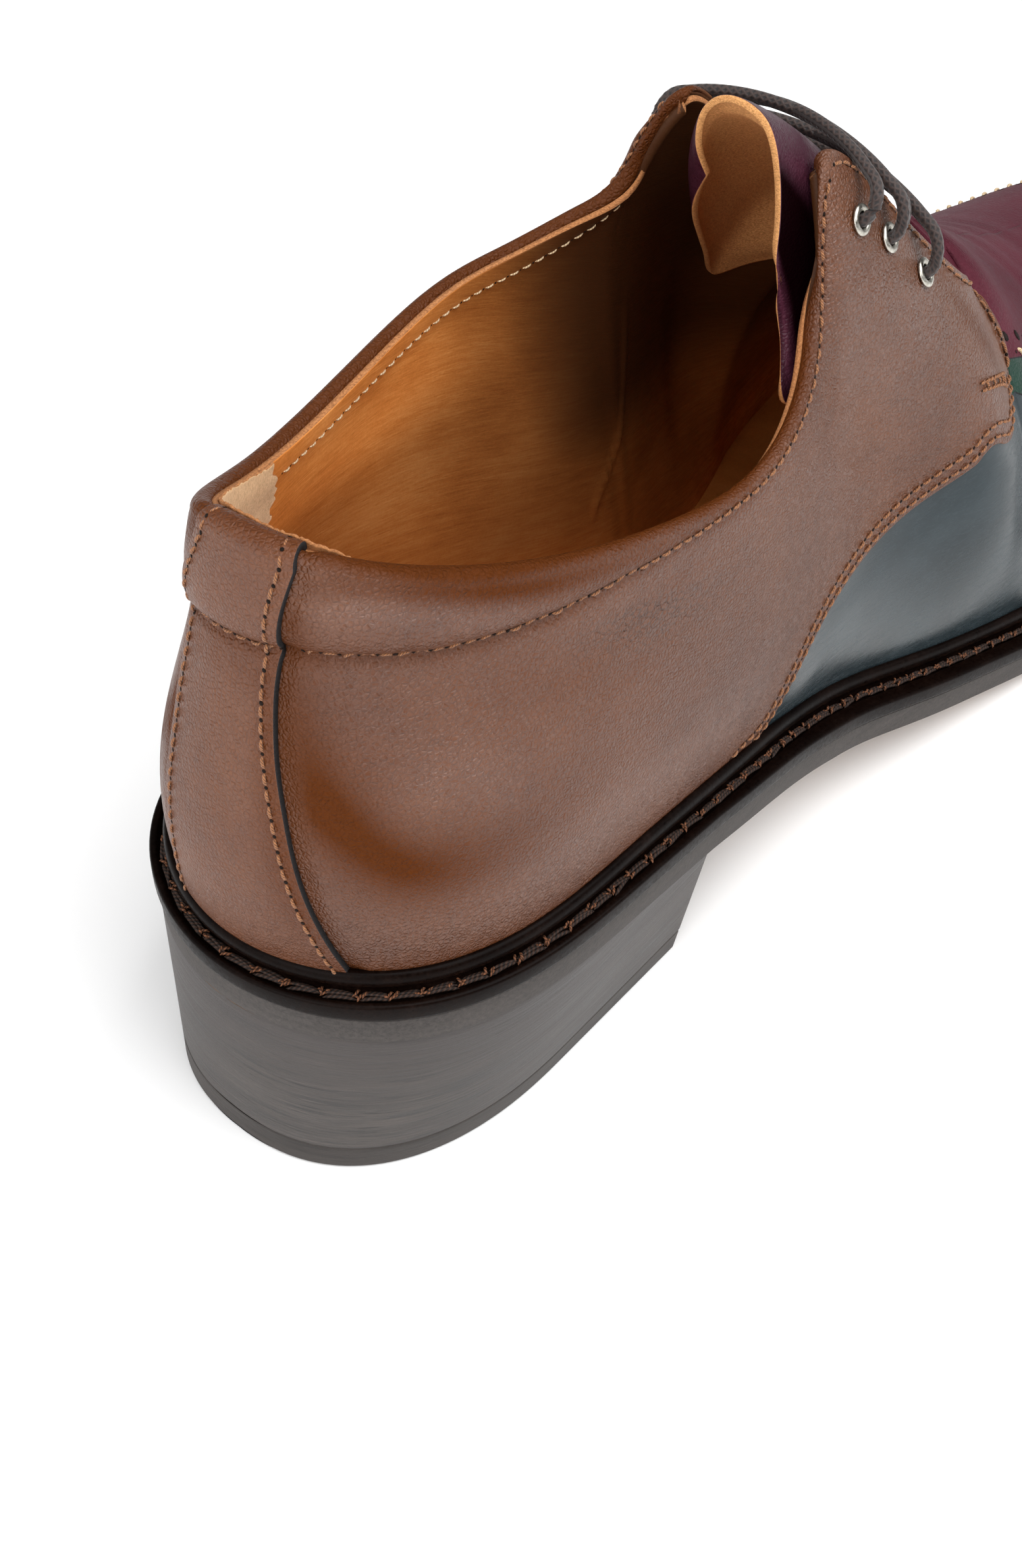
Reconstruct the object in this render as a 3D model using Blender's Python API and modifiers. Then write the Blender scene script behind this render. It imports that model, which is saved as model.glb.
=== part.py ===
"""Low derby shoe with a stacked block heel and a beaded welt: a right shoe, toe towards +X, standing on z = 0."""

import math

import bmesh
import bpy
import numpy as np
from mathutils import Vector

NAME = "brogue_derby_shoe"
MM = 0.001

# Sizes in millimetres
WALL = 2.4              # leather and lining of the upper
GAP = 0.35              # clearance between neighbouring pieces
FEATHER_DROP = 2.8      # the upper's lower edge lies this far under the welt's top
WELT_T = 3.2
OUTSOLE_T = 4.6
INSOLE_T = 3.0
INSOLE_INSET = 3.3
WELT_HEEL = 4.9         # how far the welt stands out from the feather line, heel and forepart
WELT_FORE = 6.2
BEAD_H, BEAD_W = 4.1, 1.35  # how high the welt's bead stands against the upper, and how thick it is
SOLE_INSET = 0.7
LIFT_T = 4.5
TONGUE_T = 2.0
TONGUE_GAP = 0.7
EYELET_R, EYELET_TUBE = 1.75, 0.5
EYELET_EDGE = 9.3       # eyelet centre from the facing's edge
LACE_D = 2.1
LACE_CLEAR = 1.3        # more room between lace and eyelets
SUB = 3                 # steps between two sections
ROWS = 11               # rows from feather line to top edge

# One row for each section of the last, from the back of the heel to the toe.
# feather: where the section leaves the sole; edge: where it ends, on the topline, the facing or the instep ridge;
# lean_out and pull_low: slope in degrees and pull at the sole; lean_in and pull_top: the same at the edge.
COLUMNS = ("feather_x", "feather_y", "edge_x", "edge_y", "edge_z", "lean_out", "pull_low", "lean_in", "pull_top")
LATERAL = (
    (5.2, 0.0, 11.6, 0.0, 101.2, 20, 25, -4, 20),  # heel back
    (12.5, -18.5, 15.6, -11.8, 100.3, 19, 25, -3, 20),
    (30.0, -27.4, 31.0, -19.6, 94.2, 17, 24, 2, 18),
    (52.0, -28.3, 52.0, -23.6, 87.4, 13, 22.1, 7.3, 16.8),
    (75.0, -27.4, 74.0, -25.0, 82.6, 10, 19.9, 10.1, 15.2),
    (92.0, -26.2, 88.5, -24.0, 83.6, 9, 21.4, 14.2, 16),
    (104.0, -26.0, 98.5, -20.6, 88.6, 9, 15.6, 22, 20.8),
    (112.0, -26.6, 104.4, -15.6, 98.4, 9, 26, 34.1, 14),
    (120.0, -28.0, 110.0, -11.4, 112.0, 9, 27.2, 39.3, 16),  # top of the facing
    (132.0, -30.6, 128.0, -14.2, 96.6, 9, 19.8, 50.7, 25.3),
    (144.0, -32.8, 144.5, -18.6, 80.6, 9, 22.5, 46.7, 28.1),  # foot of the facing
    (157.0, -35.2, 158.0, 0.0, 77.4, 10, 22, 90, 27),  # throat
    (173.0, -37.6, 174.0, 1.5, 67.6, 12, 17.5, 90, 23),
    (200.0, -38.8, 204.0, 4.0, 52.4, 14, 14, 90, 25),  # ball
    (232.0, -33.2, 233.0, 6.0, 44.0, 15, 13.5, 90, 21),
    (258.0, -22.0, 250.0, 7.0, 40.4, 16, 13, 90, 17),
    (272.0, -8.0, 255.0, 7.5, 39.4, 16, 12.5, 90, 14),
)
TOE = (276.0, 8.0, 256.0, 7.5, 39.1, 16, 12.5, 90, 13.5)
MEDIAL = (
    (12.0, 18.0, 15.4, 11.6, 98.2, 16, 25, -3, 20),
    (28.0, 26.6, 30.4, 19.4, 91.6, 14, 24, 2, 18),
    (50.0, 27.6, 51.0, 24.2, 90.4, 11, 21.6, 8.9, 17.2),
    (74.0, 24.6, 74.0, 28.0, 91.4, 6, 20.6, 5.4, 14.2),
    (92.0, 21.6, 88.5, 26.6, 92.4, 3, 19.5, 5.5, 17.1),
    (104.0, 20.6, 98.5, 22.4, 95.6, 2, 23.1, 20.2, 14.4),
    (112.0, 20.8, 104.6, 16.6, 103.0, 2, 21.9, 46.6, 15.4),
    (120.0, 21.8, 110.0, 12.0, 113.6, 2, 20.8, 45.5, 23.4),
    (132.0, 24.4, 128.0, 15.0, 98.0, 4, 20.7, 50.2, 25.3),
    (145.0, 28.6, 144.5, 19.4, 82.0, 6, 21.7, 39.2, 30),
    (158.0, 33.4, 158.0, 0.0, 77.4, 8, 22, 90, 26),
    (174.0, 39.0, 174.0, 1.5, 67.6, 11, 17.5, 90, 24),
    (202.0, 43.6, 204.0, 4.0, 52.4, 14, 14.5, 90, 28),
    (233.0, 40.4, 233.0, 6.0, 44.0, 15, 13.5, 90, 23),
    (258.0, 31.4, 250.0, 7.0, 40.4, 16, 13, 90, 18),
    (271.5, 20.8, 255.0, 7.5, 39.4, 16, 12.5, 90, 14),
)
THROAT = 11
LAST = len(LATERAL)      # the toe's place in the row of sections
# Height of the welt's top along the shoe: heel seat, waist, ball and toe spring
WELT_TOP = (
    (0, 38.4), (20, 38.2), (40, 37.1), (60, 34.4), (80, 30.4), (100, 25.5), (120, 20.3), (140, 15.6),
    (160, 11.5), (180, 8.6), (200, 7.4), (220, 7.9), (240, 10.2), (260, 13.8), (280, 18.4), (300, 23.6),
)
# Heel outline at the floor and under the outsole: back, half width, length of the round back, its power, breast
HEEL_FOOT = dict(back=0.4, half=28.2, round=39.0, power=2.35, breast=68.0)
HEEL_HEAD = dict(back=0.9, half=32.0, round=41.6, power=2.26, breast=70.5)
HEEL_HEAD_Z = 30.0
BREAST_HOLLOW = 3.0
# Tongue: sections it runs through and how far down the lateral and the medial side it reaches there
TONGUE = ((7.75, 0.60, 0.77), (8.3, 0.60, 0.77), (9.0, 0.64, 0.78), (10.0, 0.70, 0.80), (11.0, 0.74, 0.80), (11.6, 0.80, 0.82))
TONGUE_CURL = 5.0        # its borders stand this far in from the quarters at the collar
TONGUE_WING = 6.0        # its lower corners reach back by this much
TONGUE_NARROW = 0.84     # each step above the facings is this much narrower
TONGUE_TOP = 9.0         # how far it stands above the facings
TONGUE_TUCK = ((0, 1.6), (1, 2.5), (2, 3.3), (3, 3.8), (4, 2.4), (5, 0.9))  # rows whose lateral border leans in, and by how much
EYELETS = (8.97, 8.58, 8.20)  # sections that the eyelets sit on, lowest first


def spline(knots, values):
    """A natural cubic through rows of values."""
    x, y = np.asarray(knots, float), np.asarray(values, float)
    n, h = len(x), np.diff(x)
    a, b = np.eye(n), np.zeros(y.shape)
    for i in range(1, n - 1):
        a[i, i - 1], a[i, i], a[i, i + 1] = h[i - 1], 2 * (h[i - 1] + h[i]), h[i]
        b[i] = 6 * ((y[i + 1] - y[i]) / h[i] - (y[i] - y[i - 1]) / h[i - 1])
    m = np.linalg.solve(a, b)

    def at(q):
        q = np.asarray(q, float)
        i = np.clip(np.searchsorted(x, q, side="right") - 1, 0, n - 2)
        shape = q.shape + (1,) * (y.ndim - 1)
        w, t = h[i].reshape(shape), (q - x[i]).reshape(shape)
        s = w - t
        return (s**3 * m[i] + t**3 * m[i + 1]) / (6 * w) + (y[i] / w - m[i] * w / 6) * s + (y[i + 1] / w - m[i + 1] * w / 6) * t

    return at


welt_top = spline(*zip(*WELT_TOP))
LOOP = np.array(LATERAL + (TOE,) + MEDIAL[::-1], float)
AROUND = len(LOOP)
sections = spline(np.arange(-6, AROUND + 6), np.vstack([LOOP[-6:], LOOP, LOOP[:6]]))


def section(s, side):
    """The columns of section s and the way in from the outline there. side is -1 for lateral, 1 for medial."""
    s = np.asarray(s, float)
    place, other = (s, AROUND - s) if side < 0 else (AROUND - s, s)
    c = sections(place).copy()
    ridge = (s >= THROAT)[..., None]
    c[..., 2:5] = np.where(ridge, (c[..., 2:5] + sections(other)[..., 2:5]) / 2, c[..., 2:5])
    d = sections(place + 0.01)[..., :2] - sections(place - 0.01)[..., :2]
    d /= np.linalg.norm(d, axis=-1, keepdims=True)
    return c, np.stack([-d[..., 1], d[..., 0]], -1)


RIDGE = np.array(LATERAL[THROAT:] + (TOE,), float)[:, [2, 4]]
RIDGE = np.vstack([RIDGE, RIDGE[-1] + 12.0 * np.array([1.0, -0.32])])


def ridge_slope(s, x):
    """How the instep ridge falls towards the toe, in height for each millimetre forward; nothing behind the throat."""
    fall = (np.interp(x + 7, *RIDGE.T) - np.interp(x - 7, *RIDGE.T)) / 14
    return np.where(np.asarray(s) >= THROAT, fall, 0.0)


def shell(s, v, side, depth=0.0):
    """A point on the upper: section s, from the sole (v = 0) to the top edge (v = 1), this far inside the outer face."""
    s, v = np.broadcast_arrays(np.asarray(s, float), np.asarray(v, float))
    if depth:
        return shell(s, v, side) - depth * outward(s, v, side)
    c, inward = section(s, side)
    fx, fy, ex, ey, ez, lean_out, pull_low, lean_in, pull_top = np.moveaxis(c, -1, 0)
    low = np.stack([fx, fy, welt_top(fx) - FEATHER_DROP], -1)
    edge = np.stack([ex, ey, ez], -1)
    up = np.array([0.0, 0.0, 1.0])
    across = np.concatenate([inward, (ridge_slope(s, ex) * inward[..., 0])[..., None]], -1)
    level = np.concatenate([inward, np.zeros(inward.shape[:-1] + (1,))], -1)
    a, b = np.radians(lean_out)[..., None], np.radians(lean_in)[..., None]
    low_pull = low + pull_low[..., None] * (np.cos(a) * up - np.sin(a) * level)
    top_pull = edge - pull_top[..., None] * (np.cos(b) * up + np.sin(b) * across)
    v = v[..., None]
    return (1 - v) ** 3 * low + 3 * v * (1 - v) ** 2 * low_pull + 3 * v**2 * (1 - v) * top_pull + v**3 * edge


def outward(s, v, side):
    along = shell(np.clip(s + 0.004, 0, LAST), v, side) - shell(np.clip(s - 0.004, 0, LAST), v, side)
    rise = shell(s, np.minimum(v + 0.004, 1), side) - shell(s, np.maximum(v - 0.004, 0), side)
    n = np.cross(along, rise) * (1 if side < 0 else -1)
    return n / np.linalg.norm(n, axis=-1, keepdims=True)


def around(sub=SUB):
    """(section, side) of each station once around the outline: heel, lateral side, toe, medial side."""
    steps = np.linspace(0, LAST, LAST * sub + 1)
    return [(s, -1) for s in steps] + [(s, 1) for s in steps[-2:0:-1]]


def outline(s, side, out):
    """A point in plan on the feather line, moved out by so many millimetres."""
    c, inward = section(s, side)
    return c[..., :2] - np.asarray(out)[..., None] * inward


def welt_width(x):
    return WELT_HEEL + (WELT_FORE - WELT_HEEL) * np.clip((x - 70) / 35, 0, 1)


def welt_edge(s, side, inset=0.0):
    x = section(s, side)[0][..., 0]
    return outline(s, side, welt_width(x) - inset)


def middle():
    """Plan centre of the whole shoe, which becomes the origin."""
    rim = np.array([welt_edge(s, side) for s, side in around(12)])
    return (rim.min(0) + rim.max(0)) / 2


MIDDLE = np.array([*middle(), 0.0])


def metres(points):
    return (np.asarray(points, float) - MIDDLE) * MM


# Scene set-up
for old in list(bpy.data.objects):
    bpy.data.objects.remove(old, do_unlink=True)
parts = bpy.data.collections.new(NAME)
bpy.context.scene.collection.children.link(parts)
cutters = bpy.data.collections.new(NAME + "_cutters")
bpy.context.scene.collection.children.link(cutters)
root = bpy.data.objects.new("shoe_root", None)
parts.objects.link(root)


def material(name, colour, roughness, metallic=0.0):
    made = bpy.data.materials.new(name)
    made.use_nodes = True
    shader = made.node_tree.nodes["Principled BSDF"]
    shader.inputs["Base Color"].default_value = (*colour, 1.0)
    shader.inputs["Roughness"].default_value = roughness
    shader.inputs["Metallic"].default_value = metallic
    return made


def add(name, points, faces, look, smooth=True, into=parts):
    """An object from points in millimetres and faces by index, its faces turned to point out."""
    mesh = bpy.data.meshes.new(name)
    mesh.from_pydata([tuple(p) for p in metres(points)], [], [tuple(int(i) for i in f) for f in faces])
    bm = bmesh.new()
    bm.from_mesh(mesh)
    bmesh.ops.remove_doubles(bm, verts=bm.verts, dist=2e-6)
    bmesh.ops.recalc_face_normals(bm, faces=bm.faces)
    bm.to_mesh(mesh)
    bm.free()
    obj = bpy.data.objects.new(name, mesh)
    into.objects.link(obj)
    obj.parent = root
    if look:
        mesh.materials.append(look)
    if smooth:
        mesh.shade_smooth()
        mesh.set_sharp_from_angle(angle=math.radians(38))
    return obj


def strip(rows, closed=False):
    """Quads between neighbouring rows of point numbers."""
    faces = []
    for a, b in zip(rows, rows[1:] + rows[:1] if closed else rows[1:]):
        faces += [(a[j], a[j + 1], b[j + 1], b[j]) for j in range(len(a) - 1)]
    return faces


def loft(name, loops, look, caps=True, ring=False):
    """Closed loops of equal count, one after another; caps close the ends, ring joins the last to the first."""
    count = len(loops[0])
    points = np.concatenate([np.asarray(l, float) for l in loops])
    rows = [[k * count + j % count for j in range(count + 1)] for k in range(len(loops))]
    faces = strip(rows, ring)
    if caps and not ring:
        faces += [tuple(rows[0][:-1]), tuple(rows[-1][:-1])]
    return add(name, points, faces, look)


def plate(name, lateral, medial, top, bottom, look, cells=4):
    """A sole piece between its two side lines, matched station by station; top and bottom give heights along the shoe."""
    across = np.linspace(0, 1, cells + 1)[:, None, None]
    plan = lateral[None] * (1 - across) + medial[None] * across      # cells+1, stations, 2
    upper_side = np.concatenate([plan, top(plan[..., 0])[..., None]], -1)
    under_side = np.concatenate([plan, bottom(plan[..., 0])[..., None]], -1)
    n, m = plan.shape[:2]
    points = np.concatenate([upper_side.reshape(-1, 3), under_side.reshape(-1, 3)])
    tops = [[i * m + j for j in range(m)] for i in range(n)]
    unders = [[n * m + k for k in row] for row in tops]
    faces = strip(tops) + strip(unders) + strip([tops[0], unders[0]]) + strip([tops[-1], unders[-1]])
    return add(name, points, [f for f in faces], look)


def sheet(name, grid, look):
    """An open surface from a grid of points, rows by columns."""
    n, m = grid.shape[:2]
    rows = [[i * m + j for j in range(m)] for i in range(n)]
    return add(name, grid.reshape(-1, 3), strip(rows), look)


def thicken(obj, thickness):
    solid = obj.modifiers.new("wall", "SOLIDIFY")
    solid.thickness = thickness * MM
    solid.offset = -1
    solid.use_even_offset = True
    solid.use_rim = True
    return solid


LEATHER = material("brown leather", (0.235, 0.130, 0.098), 0.42)
BURGUNDY = material("burgundy leather", (0.145, 0.050, 0.068), 0.35)
TAN = material("tan lining leather", (0.32, 0.105, 0.028), 0.55)
WELTING = material("dark welting", (0.030, 0.022, 0.017), 0.38)
SOLE = material("sole edge", (0.090, 0.078, 0.070), 0.5)
STACK = material("stacked heel", (0.135, 0.120, 0.112), 0.5)
LIFT = material("top lift", (0.120, 0.108, 0.100), 0.6)
NICKEL = material("nickel", (0.55, 0.52, 0.46), 0.28, 1.0)
CORD = material("lace", (0.10, 0.055, 0.040), 0.75)

stations = around()
ring_s = np.array([s for s, _ in stations])
ring_side = np.array([side for _, side in stations])
steps = np.linspace(0, LAST, LAST * SUB + 1)


def ring_points(line):
    """Points of a line that is given by section and side, once around the shoe."""
    return np.array([line(s, side) for s, side in stations])


# Upper: one open skin from feather line to topline, facings and instep ridge, thickened inwards
v = np.linspace(0, 1, ROWS + 1) ** 1.08
lateral = shell(steps[:, None], v[None, :], -1)
medial = shell(steps[:, None], v[None, :], 1)
skin = np.concatenate([lateral, medial[-2:0:-1]])
count, width = skin.shape[:2]
rows = [[i * width + j for j in range(width)] for i in range(count)]
upper = add("upper", skin.reshape(-1, 3), strip(rows, closed=True), LEATHER)
thicken(upper, WALL)


# Welt: a ring whose inner side follows the upper and whose lip stands out over the sole edge
def skin_at(s, side, height):
    """Where the upper's outer face passes a height over the welt's top."""
    fine = np.linspace(0, 0.3, 31)
    line = shell(s, fine, side)
    rise = line[:, 2] - welt_top(line[:, 0])
    return np.array([np.interp(height, rise, line[:, k]) for k in range(3)])


def welt_profile(s, side):
    base, inward = section(s, side)
    out = np.array([-inward[0], -inward[1], 0.0])

    def beside(height, gap):
        p = skin_at(s, side, height) + gap * out
        return np.array([p[0], p[1], welt_top(p[0]) + height])

    w = welt_width(base[0])
    rim = np.array([base[0], base[1], 0.0])

    def lip(off, height):
        p = rim + off * out
        return np.array([p[0], p[1], welt_top(p[0]) + height])

    foot = min(float(np.dot(beside(0.0, GAP) - rim, out)) + 1.4, w - 1.6)
    return [
        beside(-WELT_T + 0.5, GAP) - [0, 0, 0.5],
        lip(w, -WELT_T),
        lip(w, -0.5),
        lip(w - 0.5, 0.0),
        lip(foot, 0.0),
        beside(BEAD_H * 0.24, GAP + BEAD_W * 0.6),
        beside(BEAD_H * 0.52, GAP + BEAD_W),
        beside(BEAD_H * 0.82, GAP + BEAD_W * 0.85),
        beside(BEAD_H, GAP + BEAD_W * 0.35),
        beside(BEAD_H * 0.92, GAP),
        beside(BEAD_H * 0.45, GAP),
    ]


loft("welt", [welt_profile(s, side) for s, side in stations], WELTING, ring=True)


# Sole pieces
def outsole_top(x):
    return welt_top(x) - WELT_T - 0.3


def outsole_under(x):
    return np.maximum(welt_top(x) - WELT_T - 0.3 - OUTSOLE_T, 0.0)


plate("outsole", welt_edge(steps, -1, SOLE_INSET), welt_edge(steps, 1, SOLE_INSET), outsole_top, outsole_under, SOLE)
inner = np.full(steps.shape, -INSOLE_INSET)
plate(
    "insole", outline(steps, -1, inner), outline(steps, 1, inner),
    lambda x: welt_top(x) - WELT_T + INSOLE_T, lambda x: welt_top(x) - WELT_T, TAN,
)


HEEL_STEPS, HEEL_CELLS = 17, 8


def heel_plan(z):
    """The heel's plan at heights z, station by station from the back to the hollow breast, across from side to side."""
    k = np.asarray(z, float) / HEEL_HEAD_Z
    size = {name: HEEL_FOOT[name] * (1 - k) + HEEL_HEAD[name] * k for name in HEEL_FOOT}
    across = np.linspace(-1, 1, HEEL_CELLS + 1)[None, :]
    along = np.linspace(0, 1, HEEL_STEPS)[:, None] ** 2
    length = size["breast"] - size["back"]
    q = np.clip(along * length / size["round"], 0, 1)
    half = size["half"] * (1 - (1 - q) ** size["power"]) ** (1 / size["power"])
    x = size["back"] + along * (length - BREAST_HOLLOW * (1 - across**2) * along**2)
    return np.stack([x, half * across], -1)


def heel_block(name, low, high, look):
    """A layer of the heel between a level underside and a top that may follow the outsole."""
    flat = np.full((HEEL_STEPS, HEEL_CELLS + 1), low)
    top = high(heel_plan(flat)[..., 0])
    under_side = np.concatenate([heel_plan(flat), flat[..., None]], -1)
    plan = heel_plan(top)
    upper_side = np.concatenate([plan, high(plan[..., 0])[..., None]], -1)
    n, m = flat.shape
    tops = [[i * m + j for j in range(m)] for i in range(n)]
    unders = [[n * m + k for k in row] for row in tops]
    faces = strip(tops) + strip(unders) + strip([tops[-1], unders[-1]])
    for j in (0, m - 1):
        faces += strip([[row[j] for row in tops], [row[j] for row in unders]])
    points = np.concatenate([upper_side.reshape(-1, 3), under_side.reshape(-1, 3)])
    return add(name, points, faces, look)


heel_block("heel_lift", 0.0, lambda x: np.full(x.shape, LIFT_T), LIFT)
heel_block("heel_stack", LIFT_T + 0.3, lambda x: outsole_under(x) - 0.4, STACK)

# Tongue: a sheet under the facings, from under the vamp to above the topmost eyelets
tongue_reach = spline([t[0] for t in TONGUE], [t[1:] for t in TONGUE])
TONGUE_ROWS, HALF = 11, 7


def tongue_section(s):
    """Points from the lateral border over the instep to the medial border, under the upper."""
    curl = TONGUE_CURL * np.clip((10.5 - s) / 2, 0, 1) * np.linspace(1, 0, HALF) ** 1.5
    depth = (WALL + TONGUE_GAP + curl)[:, None]
    ribs = zip((-1, 1), (np.linspace(reach, 1, HALF) for reach in tongue_reach(s)))
    left, right = (shell(s, v, side) - depth * outward(np.full(HALF, s), v, side) for side, v in ribs)
    if s >= THROAT:
        ridge = (left[-1] + right[-1]) / 2
        line = np.concatenate([left[:-1], ridge[None], right[:-1][::-1]])
    else:
        pull = 0.38 * np.linalg.norm(right[-1] - left[-1])
        a = left[-1] + pull * (left[-1] - left[-2]) / np.linalg.norm(left[-1] - left[-2])
        b = right[-1] + pull * (right[-1] - right[-2]) / np.linalg.norm(right[-1] - right[-2])
        t = np.linspace(0, 1, 9)[1:-1, None]
        arch = (1 - t) ** 3 * left[-1] + 3 * t * (1 - t) ** 2 * a + 3 * t**2 * (1 - t) * b + t**3 * right[-1]
        line = np.concatenate([left, arch, right[::-1]])
    run = np.concatenate([[0], np.cumsum(np.linalg.norm(np.diff(line, axis=0), axis=1))])
    even = np.linspace(0, run[-1], 2 * HALF + 1)
    return np.stack([np.interp(even, run, line[:, k]) for k in range(3)], -1)


body = [tongue_section(s) for s in np.linspace(TONGUE[0][0] + 0.25, TONGUE[-1][0], TONGUE_ROWS)]
border = np.abs(np.linspace(-1, 1, 2 * HALF + 1)) ** 3
for k, row in enumerate(body[:3]):
    row[:, 0] -= TONGUE_WING * border * (1 - k / 3)
rise = body[0] - body[1]
rise = rise[HALF] / np.linalg.norm(rise[HALF])
crown = (1 - (np.linspace(-1, 1, 2 * HALF + 1) * 0.98) ** 2) ** 0.25
for _ in range(3):
    centre = body[0][HALF]
    body.insert(0, centre + (body[0] - centre) * TONGUE_NARROW + rise * TONGUE_TOP / 3 * crown[:, None])
sheet_grid = np.array(body)
lean = np.clip(np.linspace(1, -1, 2 * HALF + 1), 0, 1) ** 1.6
for k, shift in TONGUE_TUCK:
    sheet_grid[k] += shift * lean[:, None] * np.array([-0.637, 0.771, 0.0])
tongue = sheet("tongue", sheet_grid, BURGUNDY)
thicken(tongue, TONGUE_T)

# Eyelets: rings on the facings, and the lace over the tongue
def facing_point(s, side, back):
    """(v) on section s that lies this far from the facing's edge."""
    fine = np.linspace(1, 0.5, 60)
    line = shell(s, fine, side)
    run = np.concatenate([[0], np.cumsum(np.linalg.norm(np.diff(line, axis=0), axis=1))])
    return float(np.interp(back, run, fine))


spots = {}
for number, s in enumerate(EYELETS, 1):
    for side, word in ((-1, "lateral"), (1, "medial")):
        at_v = facing_point(s, side, EYELET_EDGE)
        place, normal = shell(s, at_v, side), outward(np.asarray(s), np.asarray(at_v), side)
        spots[number, side] = place, normal
        bpy.ops.mesh.primitive_torus_add(
            major_radius=EYELET_R * MM, minor_radius=EYELET_TUBE * MM, major_segments=16, minor_segments=6
        )
        ring = bpy.context.object
        ring.name = f"eyelet_{word}_{number}"
        for home in list(ring.users_collection):
            home.objects.unlink(ring)
        parts.objects.link(ring)
        ring.data.materials.append(NICKEL)
        ring.data.shade_smooth()
        ring.location = metres(place + normal * (EYELET_TUBE + GAP))
        ring.rotation_mode = "QUATERNION"
        ring.rotation_quaternion = Vector(normal).to_track_quat("Z", "Y")
        ring.parent = root


def lace_run(start, end, lift):
    """A run of lace from one eyelet to another, arched clear of the facing and the tongue."""
    (a, na), (b, nb) = spots[start], spots[end]
    clear = 2 * EYELET_TUBE + 2 * GAP + LACE_D / 2 + LACE_CLEAR
    a, b = a + na * clear, b + nb * clear
    t = np.linspace(0, 1, 11)[:, None]
    chord = a + (b - a) * t
    up = np.array([0.45, 0.0, 0.89])
    return chord + up * (lift * (4 * t * (1 - t)) ** 0.75)


def lace_tube(name, points):
    curve = bpy.data.curves.new(name, "CURVE")
    curve.dimensions = "3D"
    curve.bevel_depth = LACE_D / 2 * MM
    curve.bevel_resolution = 1
    curve.use_fill_caps = True
    line = curve.splines.new("POLY")
    line.points.add(len(points) - 1)
    for knot, p in zip(line.points, metres(points)):
        knot.co = (*p, 1.0)
    obj = bpy.data.objects.new(name + "_guide", curve)
    parts.objects.link(obj)
    bpy.context.view_layer.update()
    graph = bpy.context.evaluated_depsgraph_get()
    mesh = bpy.data.meshes.new_from_object(obj.evaluated_get(graph))
    bm = bmesh.new()
    bm.from_mesh(mesh)
    bmesh.ops.remove_doubles(bm, verts=bm.verts, dist=1e-6)
    bmesh.ops.recalc_face_normals(bm, faces=bm.faces)
    bm.to_mesh(mesh)
    bm.free()
    made = bpy.data.objects.new(name, mesh)
    made.matrix_world = obj.matrix_world
    bpy.data.objects.remove(obj, do_unlink=True)
    return made


RUNS = (  # from, to, lift of the middle
    ((1, -1), (1, 1), 8.0),
    ((1, -1), (2, 1), 7.8),
    ((1, 1), (2, -1), 8.2),
    ((2, -1), (3, 1), 7.8),
    ((2, 1), (3, -1), 8.2),
)
lace = None
for number, (start, end, lift) in enumerate(RUNS):
    piece = lace_tube("lace" if number == 0 else f"lace_run_{number}", lace_run(start, end, lift))
    if number == 0:
        lace = piece
        parts.objects.link(lace)
        lace.data.materials.append(CORD)
        lace.parent = root
    else:
        cutters.objects.link(piece)
        piece.hide_render = True
        piece.display_type = "WIRE"
        join = lace.modifiers.new(f"join_{number}", "BOOLEAN")
        join.operation = "UNION"
        join.solver = "EXACT"
        join.object = piece
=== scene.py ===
"""Looks of a laced derby shoe with a padded collar, a beaded welt and a stacked heel. Sizes are in millimetres until placed()."""

import math

import bmesh
import bpy
import numpy as np
from mathutils import Matrix, Vector
from mathutils.bvhtree import BVHTree


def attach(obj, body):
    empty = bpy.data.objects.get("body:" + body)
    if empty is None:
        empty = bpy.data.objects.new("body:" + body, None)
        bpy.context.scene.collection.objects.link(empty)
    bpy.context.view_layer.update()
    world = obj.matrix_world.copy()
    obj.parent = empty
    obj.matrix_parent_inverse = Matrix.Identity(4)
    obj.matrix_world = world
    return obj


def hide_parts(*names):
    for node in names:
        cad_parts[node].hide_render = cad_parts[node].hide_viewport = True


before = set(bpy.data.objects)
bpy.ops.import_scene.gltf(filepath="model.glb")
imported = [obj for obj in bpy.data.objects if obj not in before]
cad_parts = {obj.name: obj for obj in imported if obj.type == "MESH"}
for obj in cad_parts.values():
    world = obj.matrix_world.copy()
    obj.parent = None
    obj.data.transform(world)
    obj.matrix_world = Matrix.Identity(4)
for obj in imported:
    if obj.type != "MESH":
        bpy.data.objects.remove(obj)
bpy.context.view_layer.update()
MM = 0.001
rng = np.random.default_rng(7)

# ---------------------------------------------------------------- the last, as in the solids
WALL, GAP, FEATHER_DROP = 2.4, 0.35, 2.8
WELT_T, OUTSOLE_T, INSOLE_T, INSOLE_INSET = 3.2, 4.6, 3.0, 3.3
WELT_HEEL, WELT_FORE = 4.9, 6.2
BEAD_H, BEAD_W = 4.1, 1.35
SOLE_INSET, LIFT_T = 0.7, 4.5
TONGUE_T, TONGUE_GAP = 2.0, 0.7
EYELET_R, EYELET_TUBE, EYELET_EDGE = 1.75, 0.5, 9.3
LACE_D, LACE_CLEAR = 2.1, 1.3
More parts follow.
